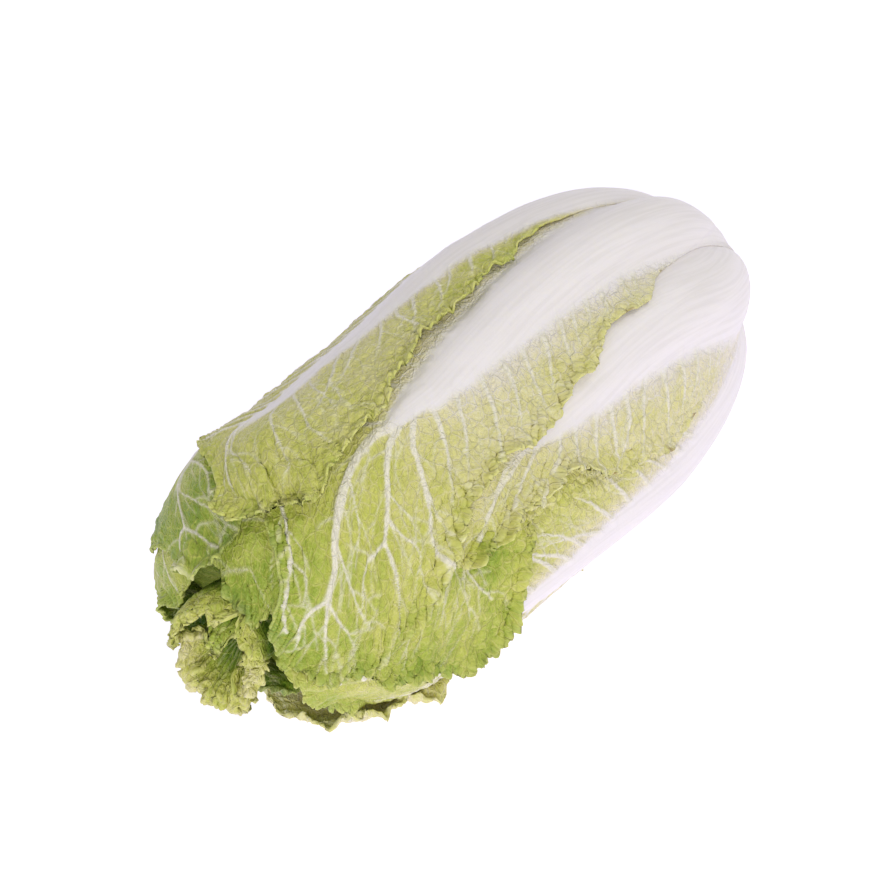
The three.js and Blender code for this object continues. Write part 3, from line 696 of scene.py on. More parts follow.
def outward(points):
    """The unit normals of a sheet of points, out of the head for rows that run from the butt."""
    normal = np.cross(np.gradient(points, axis=0), np.gradient(points, axis=1))
    return normal / np.maximum(np.linalg.norm(normal, axis=-1, keepdims=True), 1e-9)


def leaf_sheet(row):
    """The share across, share along, t and angle of every point of a leaf's outer side."""
    here = np.array(row["width_at"])
    typical = float(half_width(row, here, np.array(1.0)) + half_width(row, here, np.array(-1.0)))
    columns = 2 * round(typical / row["size"] / 2)
    longest = max(t for _, t in row["tip"]) - LEAF_BASE
    walk = np.linspace(0, 1, 400)
    weight = curve(row["fine"], LEAF_BASE + walk * longest)
    amount = np.concatenate([[0], np.cumsum(weight[1:])])
    rows = 2 * round(longest * weight.mean() / row["size"] / 2)
    v = np.interp(np.linspace(0, 1, rows + 1), amount / amount[-1], walk)
    U, V = np.meshgrid(np.linspace(1, -1, columns + 1), v)
    T = LEAF_BASE + (tip_end(row, U) - LEAF_BASE) * V
    return U, V, T, curve(row["middle"], T) + U * span(row, T, U > 0)


BARE_HOLD, BARE_FADE, BURIED_FADE = 0.5, 5.0, 8.0
THIN_RIB, BLADE_GROWN_T = (0.4, 4.0), (50, 200)


def lay_out(row):
    """Where every point of a blade lies, and how far the leaves over it leave it free or bare."""
    U, V, T, A = leaf_sheet(row)
    blade = SimpleNamespace(U=U, V=V, T=T, A=A, radius=girth(T), number=row["number"])
    blade.aside = flatten(row, T, A)
    blade.side_edge, blade.tip_edge = (1 - np.abs(U)) * half_width(row, T, U), tip_end(row, U) - T
    blade.edge = np.minimum(blade.side_edge, blade.tip_edge)
    blade.free, blade.bare, blade.over = np.ones_like(T), np.ones_like(T), np.zeros_like(T)
    for above in leaves[row["number"] + 1:]:
        blade.free *= 1 - presence(above, T, A)
        blade.bare *= 1 - presence(above, T, A, BARE_HOLD, BARE_FADE)
        blade.over += presence(above, T, A, 0.0, BURIED_FADE)
    blade.rib = midrib(row, T)
    soft = np.minimum(2.5, 0.3 * blade.rib)
    off = np.abs(blade.aside) + 0.5 * soft * noise(row["number"] + 7, blade.aside, T, 9)
    blade.in_rib = (1 - fade(blade.rib * 0.85, blade.rib * 1.12 + soft, off)) * fade(*THIN_RIB, blade.rib)
    blade.grown = fade(*BLADE_GROWN_T, T) * (1 - blade.in_rib)
    return blade


def away_from(blade, t, angle):
    """Every point's distance in mm from one place on the blade."""
    return np.hypot(blade.T - t, np.radians(blade.A - angle) * blade.radius)


LUMPS_MM = (9.0, 4.4, 2.7)
CRUMPLED_RIM, PUFF_REACH = 10.0, 7


def crumple(row, blade, near):
    """The blade's relief in mm, soft lumps that swell between the veins, deeper towards the margin,
    and how much painted shade lies in the sharp creases between them."""
    bulge, crease, wrinkle = [
        np.abs(noise(blade.number + 11 + k, blade.aside, blade.T, size)) for k, size in enumerate(LUMPS_MM)
    ]
    rim = np.exp(-blade.edge / CRUMPLED_RIM)
    share = blade.grown * blade.bare * row["crinkle"]
    amount = share * (0.5 + 1.5 * rim) * (0.2 + 0.8 * fade(2, 24, np.abs(blade.aside) - blade.rib))
    lumps = 1.3 * bulge + 0.9 * crease + 0.6 * wrinkle * (0.4 + rim)
    # Painted shade, strongest in the sharp valleys between the lumps.
    crease_shade = amount * (0.5 * np.exp(-bulge / 0.1) + 0.4 * np.exp(-crease / 0.12))
    puff = fade(0, PUFF_REACH, read_map(near, blade.aside, blade.T))
    return amount * (lumps - 0.5) + share * (0.8 * puff - 0.5), crease_shade


FRILL_REACH, FRILL_WAVES_MM = 8.0, (7.0, 3.5)
PLEAT_MM, PLEAT_HEIGHT, PLEAT_REACH, GATHER_MM = 5.5, 1.2, 4.5, 12.0
ROLL_LENGTH, ROLL_TURN, ROLL_WAVE_MM, CORNER_MM = 7.5, 2.6, 11.0, 3.0
RIM_SIDES = 30


def along_rim(blade):
    """A place that runs along the rim and round the tip, and one that tells its two sides apart."""
    return blade.T + TIP_TURN * blade.U, blade.U * RIM_SIDES


def frills(row, blade, ruffled):
    """How far the free margin stands off the head in waves and fine pleats, in mm."""
    along, side = along_rim(blade)
    long, short = FRILL_WAVES_MM
    wave = 0.55 + 0.45 * noise(blade.number + 21, along, side, long)
    wave += 0.25 * noise(blade.number + 22, along, side, short)
    gathers = np.sin(2 * math.pi * along / PLEAT_MM + 4 * noise(blade.number + 23, along, side, GATHER_MM))
    pleats = PLEAT_HEIGHT * gathers * np.exp(-blade.edge / PLEAT_REACH) * row["pleats"]
    high, low = row["frill_high"] * fade(-0.3, 0.3, blade.U), row["frill_low"] * fade(0.3, -0.3, blade.U)
    frill = row["frill"] * (high + low)
    return ruffled * (frill * wave * np.exp(-((blade.edge / FRILL_REACH) ** 2)) + pleats)


def margin_roll(row, blade, ruffled):
    """The rim rolls back in places: its shifts aside and along t, and its lift, all in mm."""
    ease = 0.35 + 0.9 * noise(blade.number + 25, *along_rim(blade), ROLL_WAVE_MM)
    strength = np.where(blade.U > 0, row["roll_high"], row["roll_low"])
    length = np.maximum(0, ROLL_LENGTH - blade.edge)
    turn = np.clip(ease, 0, 1) * strength * ruffled * ROLL_TURN * length / ROLL_LENGTH
    back = length * (1 - np.sinc(turn / math.pi))
    up = length * (1 - np.cos(turn)) / np.maximum(turn, 1e-6)
    at_side, at_tip = np.exp(-blade.side_edge / CORNER_MM), np.exp(-blade.tip_edge / CORNER_MM)
    share = at_side / (at_side + at_tip + 1e-9)
    return -np.sign(blade.U) * back * share, -back * (1 - share), up


# The hollow value is painted shade: how much greener a blade is painted in its hollows.
GREEN_EDGE, HOLLOW_SHADE, BROAD_RIB = 11.0, 0.3, 11
RIM_WIDTH, RIM_T = 2.0, (60, 150)
SPOT_EDGE_MM = 1.6


def blade_fields(row, blade, vein, crease_shade, hollow_shade):
    """What the material reads at every point: how green, with painted shade in creases and hollows, and how
    much vein, rib, rim or dry spot.
    """
    T = blade.T
    from_rib = fade(0, row["green_reach"], np.abs(blade.aside) - blade.rib * 0.9)
    green = curve(row["greens"], T) * (1 - 0.8 * np.minimum(1, blade.rib / BROAD_RIB) * (1 - from_rib))
    # Painted shade: the blade is painted greener in its sharp creases.
    green += 0.08 * crease_shade
    green += row["edge_green"] * np.exp(-blade.edge / GREEN_EDGE) * blade.grown * blade.free
    # Painted shade in the hollows; the low margin is made paler by pale_low.
    green += HOLLOW_SHADE * hollow_shade - row["pale_low"] * fade(0.2, 0.9, -blade.U)
    dry = np.zeros_like(T)
    for t, angle, reach in row["spots"]:
        off = away_from(blade, t, angle) + 1.5 * noise(77, T, blade.A, SPOT_EDGE_MM)
        dry = np.maximum(dry, 1 - fade(0.3 * reach, reach, off))
    rim = np.exp(-blade.edge / RIM_WIDTH) * fade(*RIM_T, T)
    return {"green": green, "vein": vein, "rib": blade.in_rib, "rim": rim, "dry": dry}


BURIED_DIP = 0.8
PRESSED_RIM, PRESSED_REACH, PRESSED_T = 1.6, 4.0, (90, 140)


def grow_leaf(row):
    """One leaf as a closed blade, laid over the leaves inside it."""
    blade = lay_out(row)
    T, A, aside = blade.T, blade.A, blade.aside
    height, cover, near = vein_map(leaf_veins(row))
    fold_height, _, _ = vein_map(fold_strokes(row))
    relief, crease_shade = crumple(row, blade, near)
    relief += read_map(fold_height, aside, T) * blade.bare
    hollow_shade = np.zeros_like(T)
    # Each hollow dips the blade and also marks where painted shade goes into its colour.
    for t, angle, reach, depth in row["hollows"]:
        dip = np.exp(-(away_from(blade, t, angle) / reach) ** 2)
        hollow_shade, relief = np.maximum(hollow_shade, dip), relief - depth * dip
    ruffled = blade.free * fade(*row["ruffle_t"], T)
    lift = frills(row, blade, ruffled)
    roll_aside, roll_t, roll_up = margin_roll(row, blade, ruffled)
    body = thickness(row, T, blade.U)
    base = stack(row["number"], T, A) - curve(MEAN_STACK, T) - BURIED_DIP * blade.over + relief
    base -= PRESSED_RIM * np.exp(-blade.edge / PRESSED_REACH) * blade.free * (1 - fade(*PRESSED_T, T))
    at_t, at_angle = T + roll_t, A + np.degrees(roll_aside / blade.radius)
    if row["node"] == "leaf_underside_flopped":
        head = head_point(at_t, at_angle, base + (1 - fade(*PEEL_T, T)) * (lift + roll_up))
        inner = on_surface(head, at_t, at_angle, body + lift + roll_up + relief)
    else:
        inner = head_point(at_t, at_angle, base + lift + roll_up)
    inner[..., 2] = np.maximum(inner[..., 2], FLOOR_CLEAR + BLADE)
    ridge = read_map(height, aside, T) * blade.bare * (1 - 0.8 * blade.in_rib)
    grain = 0.05 * blade.in_rib * noise(row["number"] + 31, aside * 2.0, T / 9, 6.0)
    outer = inner + outward(inner) * (body + ridge + grain)[..., None]
    outer[..., 2] = np.maximum(outer[..., 2], FLOOR_CLEAR)
    fields = blade_fields(row, blade, read_map(cover, aside, T), crease_shade, hollow_shade)
    bake = (0.01 + 0.47 * (blade.U + 1) / 2, 0.01 + 0.98 * blade.V)
    points, values, plane, bake = both_sides(outer, inner, fields, (aside, T), bake, 0.5)
    rows, columns = T.shape[0] - 1, T.shape[1] - 1
    made = add_grid(row["node"] + "_blade", points, blade_faces(rows, columns), values, plane, bake)
    made.data.materials.append(leaf_material)
    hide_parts(row["node"])
    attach(made, "root")


def linear(hex_colour):
    """The linear colour, with alpha 1, of an sRGB hex value."""
    parts = [int(hex_colour[k:k + 2], 16) / 255 for k in (0, 2, 4)]
    return tuple([p / 12.92 if p <= 0.04045 else ((p + 0.055) / 1.055) ** 2.4 for p in parts] + [1.0])


def add(tree, kind, inputs=None, stops=(), **settings):
    """Adds a node with its settings, its links and a colour ramp's stops. An input is a value, another
    node's output, or another node, whose first output in use is meant."""
    made = tree.nodes.new(kind)
    for key, value in settings.items():
        setattr(made, key, value)
    for key, value in (inputs or {}).items():
        if isinstance(value, bpy.types.Node):
            value = next(output for output in value.outputs if output.enabled)
        if isinstance(value, bpy.types.NodeSocket):
            tree.links.new(value, made.inputs[key])
        else:
            made.inputs[key].default_value = value
    while stops and len(made.color_ramp.elements) < len(stops):
        made.color_ramp.elements.new(0.5)
    for number, (place, colour) in enumerate(stops):
        made.color_ramp.elements[number].position = place
        made.color_ramp.elements[number].color = linear(colour)
    return made


def empty_material(name):
    material = bpy.data.materials.new(name)
    material.use_nodes = True
    material.node_tree.nodes.clear()
    return material, material.node_tree


# Living cabbage leaf, moist and a little waxy: it takes a soft, broken gloss, and thin light comes
# through it. Its blade is pale yellow-green with a whitish net of small veins, its midrib white.
GREENS = (
    (0.0, "F3ECE6"), (0.14, "ECE3C6"), (0.3, "E6DEA2"), (0.45, "DAD683"), (0.6, "C7CA5E"),
    (0.75, "A5B641"), (0.9, "7A9A2C"), (1.0, "4A7217"),
)
VEIN_STOPS = ((0.3, "E1DEA6"), (0.85, "F1EBD8"))
RIB_STOPS = ((0.3, "ECE6E4"), (0.6, "F2ECEB"))
RIM_COLOUR, DRY_COLOUR = "E3E28F", "8E6B3C"
WANDER_MM, WANDER_BY = 4.5, 2.0
# Cells in mm, a line's share of its cell, and how strong the line is. The finest net of a real leaf
# is about 1 mm wide; it is drawn coarser, so that it shows.
NETS = ((4.8, 0.1, 0.7), (1.9, 0.16, 0.3))
PATCH_MM, CRINKLE_MM, GRAIN_MM = 14.0, 3.0, 1.3
THREAD_WIDE_MM, THREAD_LONG_MM = 1.6, 40.0
PATCH_TONE, CRINKLE_TONE, INSIDE_TONE, NET_PALER = 0.3, 0.16, 0.06, 0.22
CRINKLE_HEIGHT, GRAIN_HEIGHT, NET_HEIGHT, THREAD_HEIGHT = 1.4, 0.5, 0.6, 0.05
LEAF_IOR = 1.4


def net_of_veins(tree, place):
    """The pale lines of both nets, at their full strength where they run."""
    drawn = []
    for size, line, strength in NETS:
        cells = add(tree, "ShaderNodeTexVoronoi", {"Vector": place, "Scale": 1 / size},
                    voronoi_dimensions="2D", feature="DISTANCE_TO_EDGE")
        lines = add(tree, "ShaderNodeValToRGB", {"Fac": cells}, ((0.0, "FFFFFF"), (line, "000000")))
        drawn.append(add(tree, "ShaderNodeMath", {0: lines, 1: strength}, operation="MULTIPLY"))
    return add(tree, "ShaderNodeMath", {0: drawn[0], 1: drawn[1]}, operation="MAXIMUM")


def blade_colour(tree, flat, value, crinkle, lines):
    """Deeper with age, with the painted shade of creases and hollows that green carries, a little darker
    inside, with a pale net, veins and rim.
    """
    patches = add(tree, "ShaderNodeTexNoise", {"Vector": flat, "Scale": 1 / PATCH_MM, "Detail": 3.0},
                  noise_dimensions="2D")
    tone = value["green"]
    for spread, amount in ((patches, PATCH_TONE), (crinkle, CRINKLE_TONE)):
        centred = add(tree, "ShaderNodeMath", {0: spread, 1: 0.5}, operation="SUBTRACT")
        tone = add(tree, "ShaderNodeMath", {0: centred, 1: amount, 2: tone}, operation="MULTIPLY_ADD")
    inside = {0: value["inside"], 1: INSIDE_TONE, 2: tone}
    tone = add(tree, "ShaderNodeMath", inside, operation="MULTIPLY_ADD")
    paler = add(tree, "ShaderNodeMath", {0: tone, 1: NET_PALER}, operation="SUBTRACT")
    blade, pale = [add(tree, "ShaderNodeValToRGB", {"Fac": level}, GREENS) for level in (tone, paler)]
    blade = add(tree, "ShaderNodeMix", {0: lines, 6: blade, 7: pale}, data_type="RGBA")
    vein_colour = add(tree, "ShaderNodeValToRGB", {"Fac": value["vein"]}, VEIN_STOPS)
    for key, strength, colour in (("vein", 0.95, vein_colour), ("rim", 0.4, linear(RIM_COLOUR))):
        share = add(tree, "ShaderNodeMath", {0: value[key], 1: strength}, operation="MULTIPLY")
        blade = add(tree, "ShaderNodeMix", {0: share, 6: blade, 7: colour}, data_type="RGBA")
    return blade


def leaf_relief(tree, flat, rib, crinkle, lines, threads):
    """The small relief: crinkles, the net and a grain on the blade, only faint threads on the midrib."""
    grain = add(tree, "ShaderNodeTexNoise", {"Vector": flat, "Scale": 1 / GRAIN_MM, "Detail": 1.0},
                noise_dimensions="2D")
    height = add(tree, "ShaderNodeMath", {0: lines, 1: NET_HEIGHT}, operation="MULTIPLY")
    for part, tall in ((crinkle, CRINKLE_HEIGHT), (grain, GRAIN_HEIGHT)):
        centred = add(tree, "ShaderNodeMath", {0: part, 1: 0.5}, operation="SUBTRACT")
        height = add(tree, "ShaderNodeMath", {0: centred, 1: tall, 2: height}, operation="MULTIPLY_ADD")
    smooth = add(tree, "ShaderNodeMath", {0: rib, 1: 0.93}, operation="MULTIPLY")
    on_blade = add(tree, "ShaderNodeMath", {0: 1.0, 1: smooth}, operation="SUBTRACT")
    height = add(tree, "ShaderNodeMath", {0: height, 1: on_blade}, operation="MULTIPLY")
    on_rib = add(tree, "ShaderNodeMath", {0: rib, 1: THREAD_HEIGHT}, operation="MULTIPLY")
    height = add(tree, "ShaderNodeMath", {0: threads, 1: on_rib, 2: height}, operation="MULTIPLY_ADD")
    return add(tree, "ShaderNodeBump", {"Height": height, "Strength": 0.75, "Distance": 0.0013})


def build_leaf_material():
    material, tree = empty_material("napa_cabbage_leaf")
    flat = add(tree, "ShaderNodeAttribute", attribute_name="flat_mm").outputs["Vector"]
    value = {
        name: add(tree, "ShaderNodeAttribute", attribute_name=name).outputs["Fac"]
        for name in ("green", "vein", "rib", "rim", "dry", "inside")
    }
    # The net and the crinkles run unevenly, so their places wander.
    wander = add(tree, "ShaderNodeTexNoise", {"Vector": flat, "Scale": 1 / WANDER_MM, "Detail": 1.0},
                 noise_dimensions="2D").outputs["Color"]
    wander = add(tree, "ShaderNodeVectorMath", {0: wander, 1: (0.5, 0.5, 0.5)}, operation="SUBTRACT")
    wander = add(tree, "ShaderNodeVectorMath", {0: wander, 1: [WANDER_BY] * 3}, operation="MULTIPLY")
    warped = add(tree, "ShaderNodeVectorMath", {0: flat, 1: wander}, operation="ADD")
    lines = net_of_veins(tree, warped)
    crinkle = add(tree, "ShaderNodeTexNoise", {"Vector": warped, "Scale": 1 / CRINKLE_MM, "Detail": 2.0},
                  noise_dimensions="2D")
    # Midribs are white and juicy, with faint threads along them.
    thread_scale = (1 / THREAD_WIDE_MM, 1 / THREAD_LONG_MM, 0.0)
    along_rib = add(tree, "ShaderNodeVectorMath", {0: flat, 1: thread_scale}, operation="MULTIPLY")
    threads = add(tree, "ShaderNodeTexNoise", {"Vector": along_rib, "Scale": 1.0, "Detail": 2.0},
                  noise_dimensions="2D")
    rib_colour = add(tree, "ShaderNodeValToRGB", {"Fac": threads}, RIB_STOPS)
    blade = blade_colour(tree, flat, value, crinkle, lines)
    colour = add(tree, "ShaderNodeMix", {0: value["rib"], 6: blade, 7: rib_colour}, data_type="RGBA")
    dried = add(tree, "ShaderNodeMath", {0: value["dry"], 1: 0.75}, operation="MULTIPLY")
    colour = add(tree, "ShaderNodeMix", {0: dried, 6: colour, 7: linear(DRY_COLOUR)}, data_type="RGBA")
    rough = add(tree, "ShaderNodeMath", {0: crinkle, 1: 0.2, 2: 0.36}, operation="MULTIPLY_ADD")
    bump = leaf_relief(tree, flat, value["rib"], crinkle, lines, threads)
    skin = add(tree, "ShaderNodeBsdfPrincipled", {
        "Base Color": colour, "Roughness": rough, "Normal": bump, "IOR": LEAF_IOR,
        "Subsurface Weight": 0.12, "Subsurface Radius": (1.0, 0.9, 0.35), "Subsurface Scale": 0.002,
    })
    add(tree, "ShaderNodeOutputMaterial", {"Surface": skin})
    return material


leaf_material = build_leaf_material()
for row in leaves:
    grow_leaf(row)


# ---- Heart ------------------------------------------------------------------------------------
# The tight inner leaves, which show only in the gaps between the outer leaf tips. They wrap round
# each other in a spiral, so their edges stand out as low steps.

HEART_RINGS, HEART_SIDES = 150, 240
HEART_WRAPS, HEART_STEP, HEART_TWIST = 5, 2.2, 90
HEART_CLEARANCE, HEART_RADIUS, HEART_LUMP_MM = 2.4, 60, 9
HEART_TIP_START, HEART_TIP_DROP = 318.0, 30.0


def ring_faces(rows, columns):
    """Quads of a tube of rings, its normals out for rings that run from the butt."""
    i = np.arange(columns)
    after = (i + 1) % columns
    faces = []
    for j in range(rows - 1):
        a, b = j * columns, (j + 1) * columns
        faces += np.stack([a + i, a + after, b + after, b + i], -1).tolist()
    return faces


def make_heart():
    t = np.linspace(6, OUTLINE_END - 4, HEART_RINGS)
    angle = np.arange(HEART_SIDES) * 360 / HEART_SIDES
    T, A = np.meshgrid(t, angle, indexing="ij")
    turn = (A * HEART_WRAPS / 360 + T / HEART_TWIST) % 1
    step = HEART_STEP * (1 - turn) * fade(0, 0.15, turn) * fade(200, 330, T)
    drop = curve(MEAN_STACK, T) + HEART_CLEARANCE + HEART_TIP_DROP * fade(HEART_TIP_START, OUTLINE_END, T)
    aside = np.radians(A) * HEART_RADIUS
    lumps = 1.2 * np.abs(noise(51, aside, T, HEART_LUMP_MM)) * fade(150, 260, T)
    points = head_point(T, A, step - HEART_STEP - drop + lumps).reshape(-1, 3)
    faces = ring_faces(HEART_RINGS, HEART_SIDES)
    faces.append(list(range(HEART_SIDES))[::-1])
    faces.append([(HEART_RINGS - 1) * HEART_SIDES + k for k in range(HEART_SIDES)])
    values = {key: np.zeros(T.size) for key in ("green", "vein", "rib", "rim", "dry", "inside")}
    values["green"] = 0.15 + 0.65 * fade(150, 330, T).ravel()
    values["rim"] = (fade(0.05, 0, turn) * fade(200, 300, T)).ravel()
    plane = np.stack([aside, T, np.zeros_like(T)], -1).reshape(-1, 3)
    bake = np.stack([0.01 + 0.98 * A / 360, 0.01 + 0.98 * T / OUTLINE_END], -1).reshape(-1, 2)
    heart = add_grid("heart_leaves", points, faces, values, plane, bake)
    heart.data.materials.append(leaf_material)
    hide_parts("heart")
    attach(heart, "root")


make_heart()


# ---- Curled leaf at the tip -------------------------------------------------------------------
# A young leaf rolled into a crumpled cup at the end of the head. Its lower side lies open in ruffles,
# its upper side arches over the dark hollow, and a flap of it hangs across the mouth.

CUP_CENTRE = np.array([-154.0, -9.0, 80.0])
CUP_AXIS = np.array([-1.0, -0.25, 0.3])
CUP_ACROSS, CUP_UP = 17.5, 26.0
CUP_RADIUS = (CUP_ACROSS + CUP_UP) / 2
CUP_STEP = 0.5
CUP_FAR_X = -172.0
CUP_GATHER_MM, CUP_GATHER_HEIGHT = 5.2, 1.5
CUP_VEIN_EVERY = 17
CUP_LUMPS_MM = (5.0, 2.6)

# Each fold of the cup runs from one angle to another round the axis, 0 towards -Y and 90 up. Its
# profile gives its share of the cup's radius and its place along the axis in mm, from root to rim.
cup_folds = (
    dict(turn=(165, 400), profile=((0.2, -16), (0.5, -7), (0.8, 0), (1.02, 2), (1.15, -4)), ruffle=4.2,
         green=0.45, seed=201),
    dict(turn=(62, 191), profile=((1.0, -16), (1.1, -3), (1.06, 5), (0.98, 10), (0.84, 9)), ruffle=2.0,
         green=0.5, seed=202),
    dict(turn=(50, 112), profile=((0.9, -14), (0.8, -5), (0.62, 3), (0.4, 7), (0.12, 6)), ruffle=2.2,
         green=0.62, seed=203),
    dict(turn=(4, 58), profile=((1.0, -14), (1.1, -4), (1.18, 2), (1.1, 7), (0.92, 8)), ruffle=2.0,
         green=0.55, seed=204),
    dict(turn=(215, 330), profile=((0.3, -15), (0.48, -9), (0.62, -2), (0.74, 3), (0.88, 2)), ruffle=3.4,
         green=0.57, seed=205),
)


def cup_sheet(fold, W, S, length):
    """The fold's smooth sheet, as points and as each point's share of the cup's radius."""
    forward = CUP_AXIS / np.linalg.norm(CUP_AXIS)
    side = np.cross((0, 0, 1), forward)
    side /= np.linalg.norm(side)
    up = np.cross(forward, side)
    start, end = np.radians(fold["turn"])
    stations = np.linspace(0, 1, len(fold["profile"]))
    seed, round_it, along = fold["seed"], W * CUP_RADIUS, S * length
    # The rim runs in and out, and both ends of the fold draw back to its root.
    ends = np.minimum(W - start, end - W) / (end - start)
    reach = S * (0.45 + 0.55 * fade(0, 0.16, ends)) * (1 + 0.1 * noise(seed, round_it, along * 0, 5.0))
    share, height = [curve(list(zip(stations, part)), reach) for part in zip(*fold["profile"])]
    ruffle = fold["ruffle"] * fade(0.1, 1, S)
    wave = noise(seed + 10, round_it, along * 0.4, 9.0)
    wave += 0.7 * noise(seed + 20, round_it, along * 0.5, 4.5)
    share = share + ruffle * wave / CUP_RADIUS
    height = height + ruffle * noise(seed + 30, round_it, along * 0.4, 8.0)
    points = (
        CUP_CENTRE
        + height[..., None] * forward
        + (share * CUP_ACROSS * np.cos(W))[..., None] * side
        + (share * CUP_UP * np.sin(W))[..., None] * up
    )
    return points, share


def grow_fold(fold):
    """One crumpled fold of the cup: its points, values, flat places, bake places and faces."""
    start, end = np.radians(fold["turn"])
    shares, heights = np.array(fold["profile"], float).T
    length = np.sum(np.hypot(np.diff(shares) * CUP_RADIUS, np.diff(heights)))
    columns = 2 * round((end - start) * CUP_RADIUS * 0.9 / CUP_STEP / 2)
    rows = 2 * round(length / CUP_STEP / 2)
    W, S = np.meshgrid(np.linspace(start, end, columns + 1), np.linspace(0, 1, rows + 1))
    points, share = cup_sheet(fold, W, S, length)
    seed, round_it, along = fold["seed"], W * CUP_RADIUS, S * length
    bulge, crease = [np.abs(noise(seed + 40 + k, round_it, along, mm)) for k, mm in enumerate(CUP_LUMPS_MM)]
    phase = 2 * math.pi * round_it / CUP_GATHER_MM + 4 * noise(seed + 60, round_it, along, 9.0)
    gathers = CUP_GATHER_HEIGHT * np.sin(phase) * S ** 2
    relief = (2.2 * bulge + 1.3 * crease) * (0.3 + 0.7 * S) + gathers
    points = points + outward(points) * relief[..., None]
    inner = points + outward(points) * -BLADE
    for sheet in (points, inner):
        sheet[..., 0] = np.maximum(sheet[..., 0], CUP_FAR_X)
    # Painted shade in the creases and in the valleys between the gathers.
    crease_shade = 0.5 * np.exp(-bulge / 0.12) + 0.5 * np.exp(-crease / 0.12) - 0.25 * gathers
    wander = 0.5 * noise(seed + 50, round_it, along, 9.0)
    rays = np.abs((np.degrees(W) / CUP_VEIN_EVERY + wander) % 1 - 0.5) * CUP_VEIN_EVERY
    vein = (1 - fade(0.6, 1.6, rays * share)) * (1 - 0.5 * S)
    # The green is painted deeper towards the root, as painted shade deep in the cup, and in the creases.
    fields = {
        "green": fold["green"] + 0.5 * (1 - fade(0, 0.6, S)) + 0.1 * crease_shade, "vein": 0.35 * vein,
        "rib": S * 0, "rim": np.exp(-(1 - S) * length / 1.6), "dry": S * 0,
    }
    bake = ((W - start) / (end - start), S)
    return *both_sides(points, inner, fields, (round_it, along), bake, 1.05), blade_faces(rows, columns)


def make_curled_leaf():
    grown = [grow_fold(fold) for fold in cup_folds]
    offset, faces, places = 0, [], []
    for number, (points, _, _, bake, fold_faces) in enumerate(grown):
        faces += [[v + offset for v in face] for face in fold_faces]
        offset += len(points)
        places.append((0.01, 0.01) + (bake * (1 / 2.2, 0.9) + (0, number)) * (0.98, 0.98 / len(cup_folds)))
    values = {key: np.concatenate([g[1][key] for g in grown]) for key in grown[0][1]}
    points, plane = [np.concatenate([g[k] for g in grown]) for k in (0, 2)]
    made = add_grid("leaf_tip_curled_blade", points, faces, values, plane, np.concatenate(places))
    made.data.materials.append(leaf_material)
    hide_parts("leaf_tip_curled")
    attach(made, "root")


make_curled_leaf()


# ---- Stump ------------------------------------------------------------------------------------
# The cut base of the stem: firm pale flesh, cut flat and mottled with fibres. Its lobed side runs in
# under the outer leaves, and the rim of the cut is drying.

STUMP_ROOT, STUMP_RADIUS, STUMP_DEPTH = 14.0, 24.0, 17.0
STUMP_SIDES, STUMP_RINGS = 160, 60
SIDE_SHARE, SIDE_LOBES = 0.36, 5
FIBRE_MM, STUMP_PATCH_MM = 2.0, 12.0


# Cut stem: firm, wet and fibrous when it is fresh, now dull, pale cream with darker fibres between
# the bundles and a brownish, drying rim.
STEM_STOPS = ((0.75, "C9B48A"), (0.95, "E5DABD"), (1.2, "F0E9D8"))
STEM_DRY_COLOUR = "A98B5C"


def build_stump_material():
    material, tree = empty_material("cut_cabbage_stem")
    flat = add(tree, "ShaderNodeAttribute", attribute_name="flat_mm").outputs["Vector"]
    fibres = {"Vector": flat, "Scale": 1 / FIBRE_MM, "Detail": 5.0, "Roughness": 0.65}
    fibres = add(tree, "ShaderNodeTexNoise", fibres)
    patches = {"Vector": flat, "Scale": 1 / STUMP_PATCH_MM, "Detail": 3.0}
    patches = add(tree, "ShaderNodeTexNoise", patches)
    both = add(tree, "ShaderNodeMath", {0: fibres, 1: patches}, operation="ADD")
    colour = add(tree, "ShaderNodeValToRGB", {"Fac": both}, STEM_STOPS)
    dry = add(tree, "ShaderNodeAttribute", attribute_name="dry").outputs["Fac"]
    colour = add(tree, "ShaderNodeMix", {0: dry, 6: colour, 7: linear(STEM_DRY_COLOUR)}, data_type="RGBA")
    bump = add(tree, "ShaderNodeBump", {"Height": fibres, "Strength": 0.6, "Distance": 0.0008})
    flesh = add(tree, "ShaderNodeBsdfPrincipled", {
        "Base Color": colour, "Roughness": 0.6, "Normal": bump, "IOR": LEAF_IOR,
        "Subsurface Weight": 0.1, "Subsurface Radius": (1.0, 0.8, 0.5), "Subsurface Scale": 0.002,
    })
    add(tree, "ShaderNodeOutputMaterial", {"Surface": flesh})
    return material


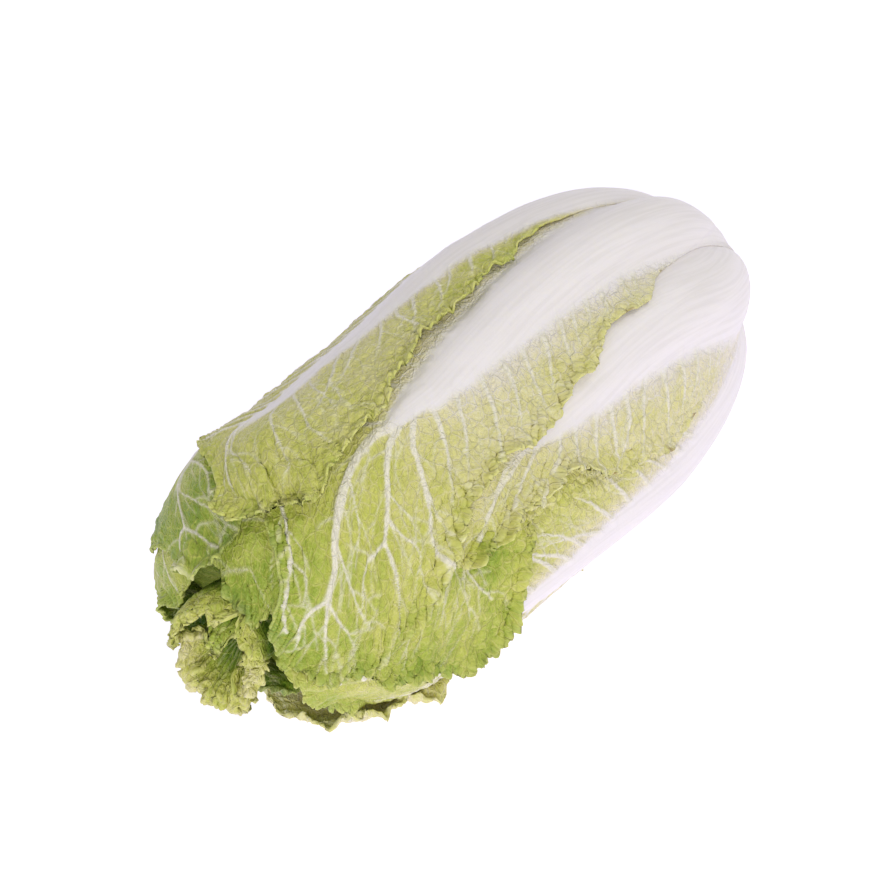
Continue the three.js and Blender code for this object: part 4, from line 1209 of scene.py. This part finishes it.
def make_stump():
    way = np.linspace(0, 1, STUMP_RINGS)
    turn = np.arange(STUMP_SIDES) * 2 * math.pi / STUMP_SIDES
    S, W = np.meshgrid(way, turn, indexing="ij")
    on_face = fade(SIDE_SHARE - 0.01, SIDE_SHARE + 0.01, S)
    side_share = np.clip(S / SIDE_SHARE, 0, 1)
    side_radius = STUMP_ROOT + (STUMP_RADIUS - STUMP_ROOT) * side_share
    face_radius = STUMP_RADIUS * (1 - (S - SIDE_SHARE) / (1 - SIDE_SHARE))
    radius = np.where(S < SIDE_SHARE, side_radius, face_radius)
    lobes = 1.3 * np.sin(SIDE_LOBES * W + 0.6) + 0.8 * noise(71, W * 9, W * 0, 5)
    radius = np.maximum(radius - 0.9 + (lobes - 1.2) * np.clip(radius / STUMP_RADIUS, 0, 1), 0)
    x = STUMP_FACE_X - STUMP_DEPTH + STUMP_DEPTH * side_share
    cells = 0.35 * noise(72, radius * np.cos(W), radius * np.sin(W), 3.0)
    x = x - on_face * (0.5 + cells) - 1.4 * fade(STUMP_RADIUS - 3.5, STUMP_RADIUS, radius + 1.4) * on_face
    points = np.stack([x, -radius * np.cos(W), AXIS_HEIGHT + radius * np.sin(W)], -1).reshape(-1, 3)
    faces = [f[::-1] for f in ring_faces(STUMP_RINGS, STUMP_SIDES)]
    faces.append(list(range(STUMP_SIDES)))
    values = {"dry": (fade(STUMP_RADIUS - 6, STUMP_RADIUS - 1, radius) * 0.8).ravel()}
    plane = np.stack([radius * np.cos(W), radius * np.sin(W), x], -1).reshape(-1, 3)
    bake = np.stack([0.01 + 0.98 * W / (2 * math.pi), 0.01 + 0.98 * S], -1).reshape(-1, 2)
    stump = add_grid("stump_cut", points, faces, values, plane, bake)
    stump.data.materials.append(build_stump_material())
    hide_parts("stump")
    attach(stump, "root")


make_stump()


# ---- Floor, light and camera ------------------------------------------------------------------
# A plain white floor, soft light from all round, a large soft lamp over the butt end and a smaller
# one over the tip.

FLOOR_END = 4
FLOOR_GLOW, WORLD_GLOW = 0.54, 0.49

mesh = bpy.data.meshes.new("floor")
floor_corners = [(x * FLOOR_END, y * FLOOR_END, 0) for x, y in ((-1, -1), (1, -1), (1, 1), (-1, 1))]
mesh.from_pydata(floor_corners, [], [(0, 1, 2, 3)])
floor = bpy.data.objects.new("floor", mesh)
bpy.context.scene.collection.objects.link(floor)
paint = bpy.data.materials.new("white_floor")
paint.use_nodes = True
shader = paint.node_tree.nodes["Principled BSDF"]
shader.inputs["Base Color"].default_value = linear("E7DFFA")
shader.inputs["Roughness"].default_value = 0.9
shader.inputs["Emission Color"].default_value = linear("FFFFFF")
shader.inputs["Emission Strength"].default_value = FLOOR_GLOW
floor.data.materials.append(paint)

world = bpy.data.worlds.new("studio")
world.use_nodes = True
sky = world.node_tree.nodes["Background"]
sky.inputs["Color"].default_value = linear("FFFFFF")
sky.inputs["Strength"].default_value = WORLD_GLOW
bpy.context.scene.world = world


def soft_lamp(name, place, size, energy):
    """A round soft lamp that shines at the middle of the frame."""
    lamp = bpy.data.lights.new(name, "AREA")
    lamp.shape = "DISK"
    lamp.size = size
    lamp.energy = energy
    made = bpy.data.objects.new(name, lamp)
    made.location = place
    made.rotation_euler = (-made.location).to_track_quat("-Z", "Y").to_euler()
    bpy.context.scene.collection.objects.link(made)


soft_lamp("key", (1.1, -0.15, 1.15), size=0.9, energy=5)
soft_lamp("fill", (-0.86, -0.78, 0.95), size=0.5, energy=7.5)

CAMERA_FROM_HEAD = np.array([-445.64, -403.27, 736.13])
AIM_FROM_HEAD = np.array([1.8, 19.2, 53.2])
camera_data = bpy.data.cameras.new("camera")
camera_data.lens = 85
camera_data.sensor_width = 36
camera = bpy.data.objects.new("camera", camera_data)
camera.location = (CAMERA_FROM_HEAD + HEAD_AT) * MM
view_line = Vector((AIM_FROM_HEAD - CAMERA_FROM_HEAD) * MM)
camera.rotation_euler = view_line.to_track_quat("-Z", "Y").to_euler()
bpy.context.scene.collection.objects.link(camera)
bpy.context.scene.camera = camera
bpy.context.scene.view_settings.view_transform = "Standard"
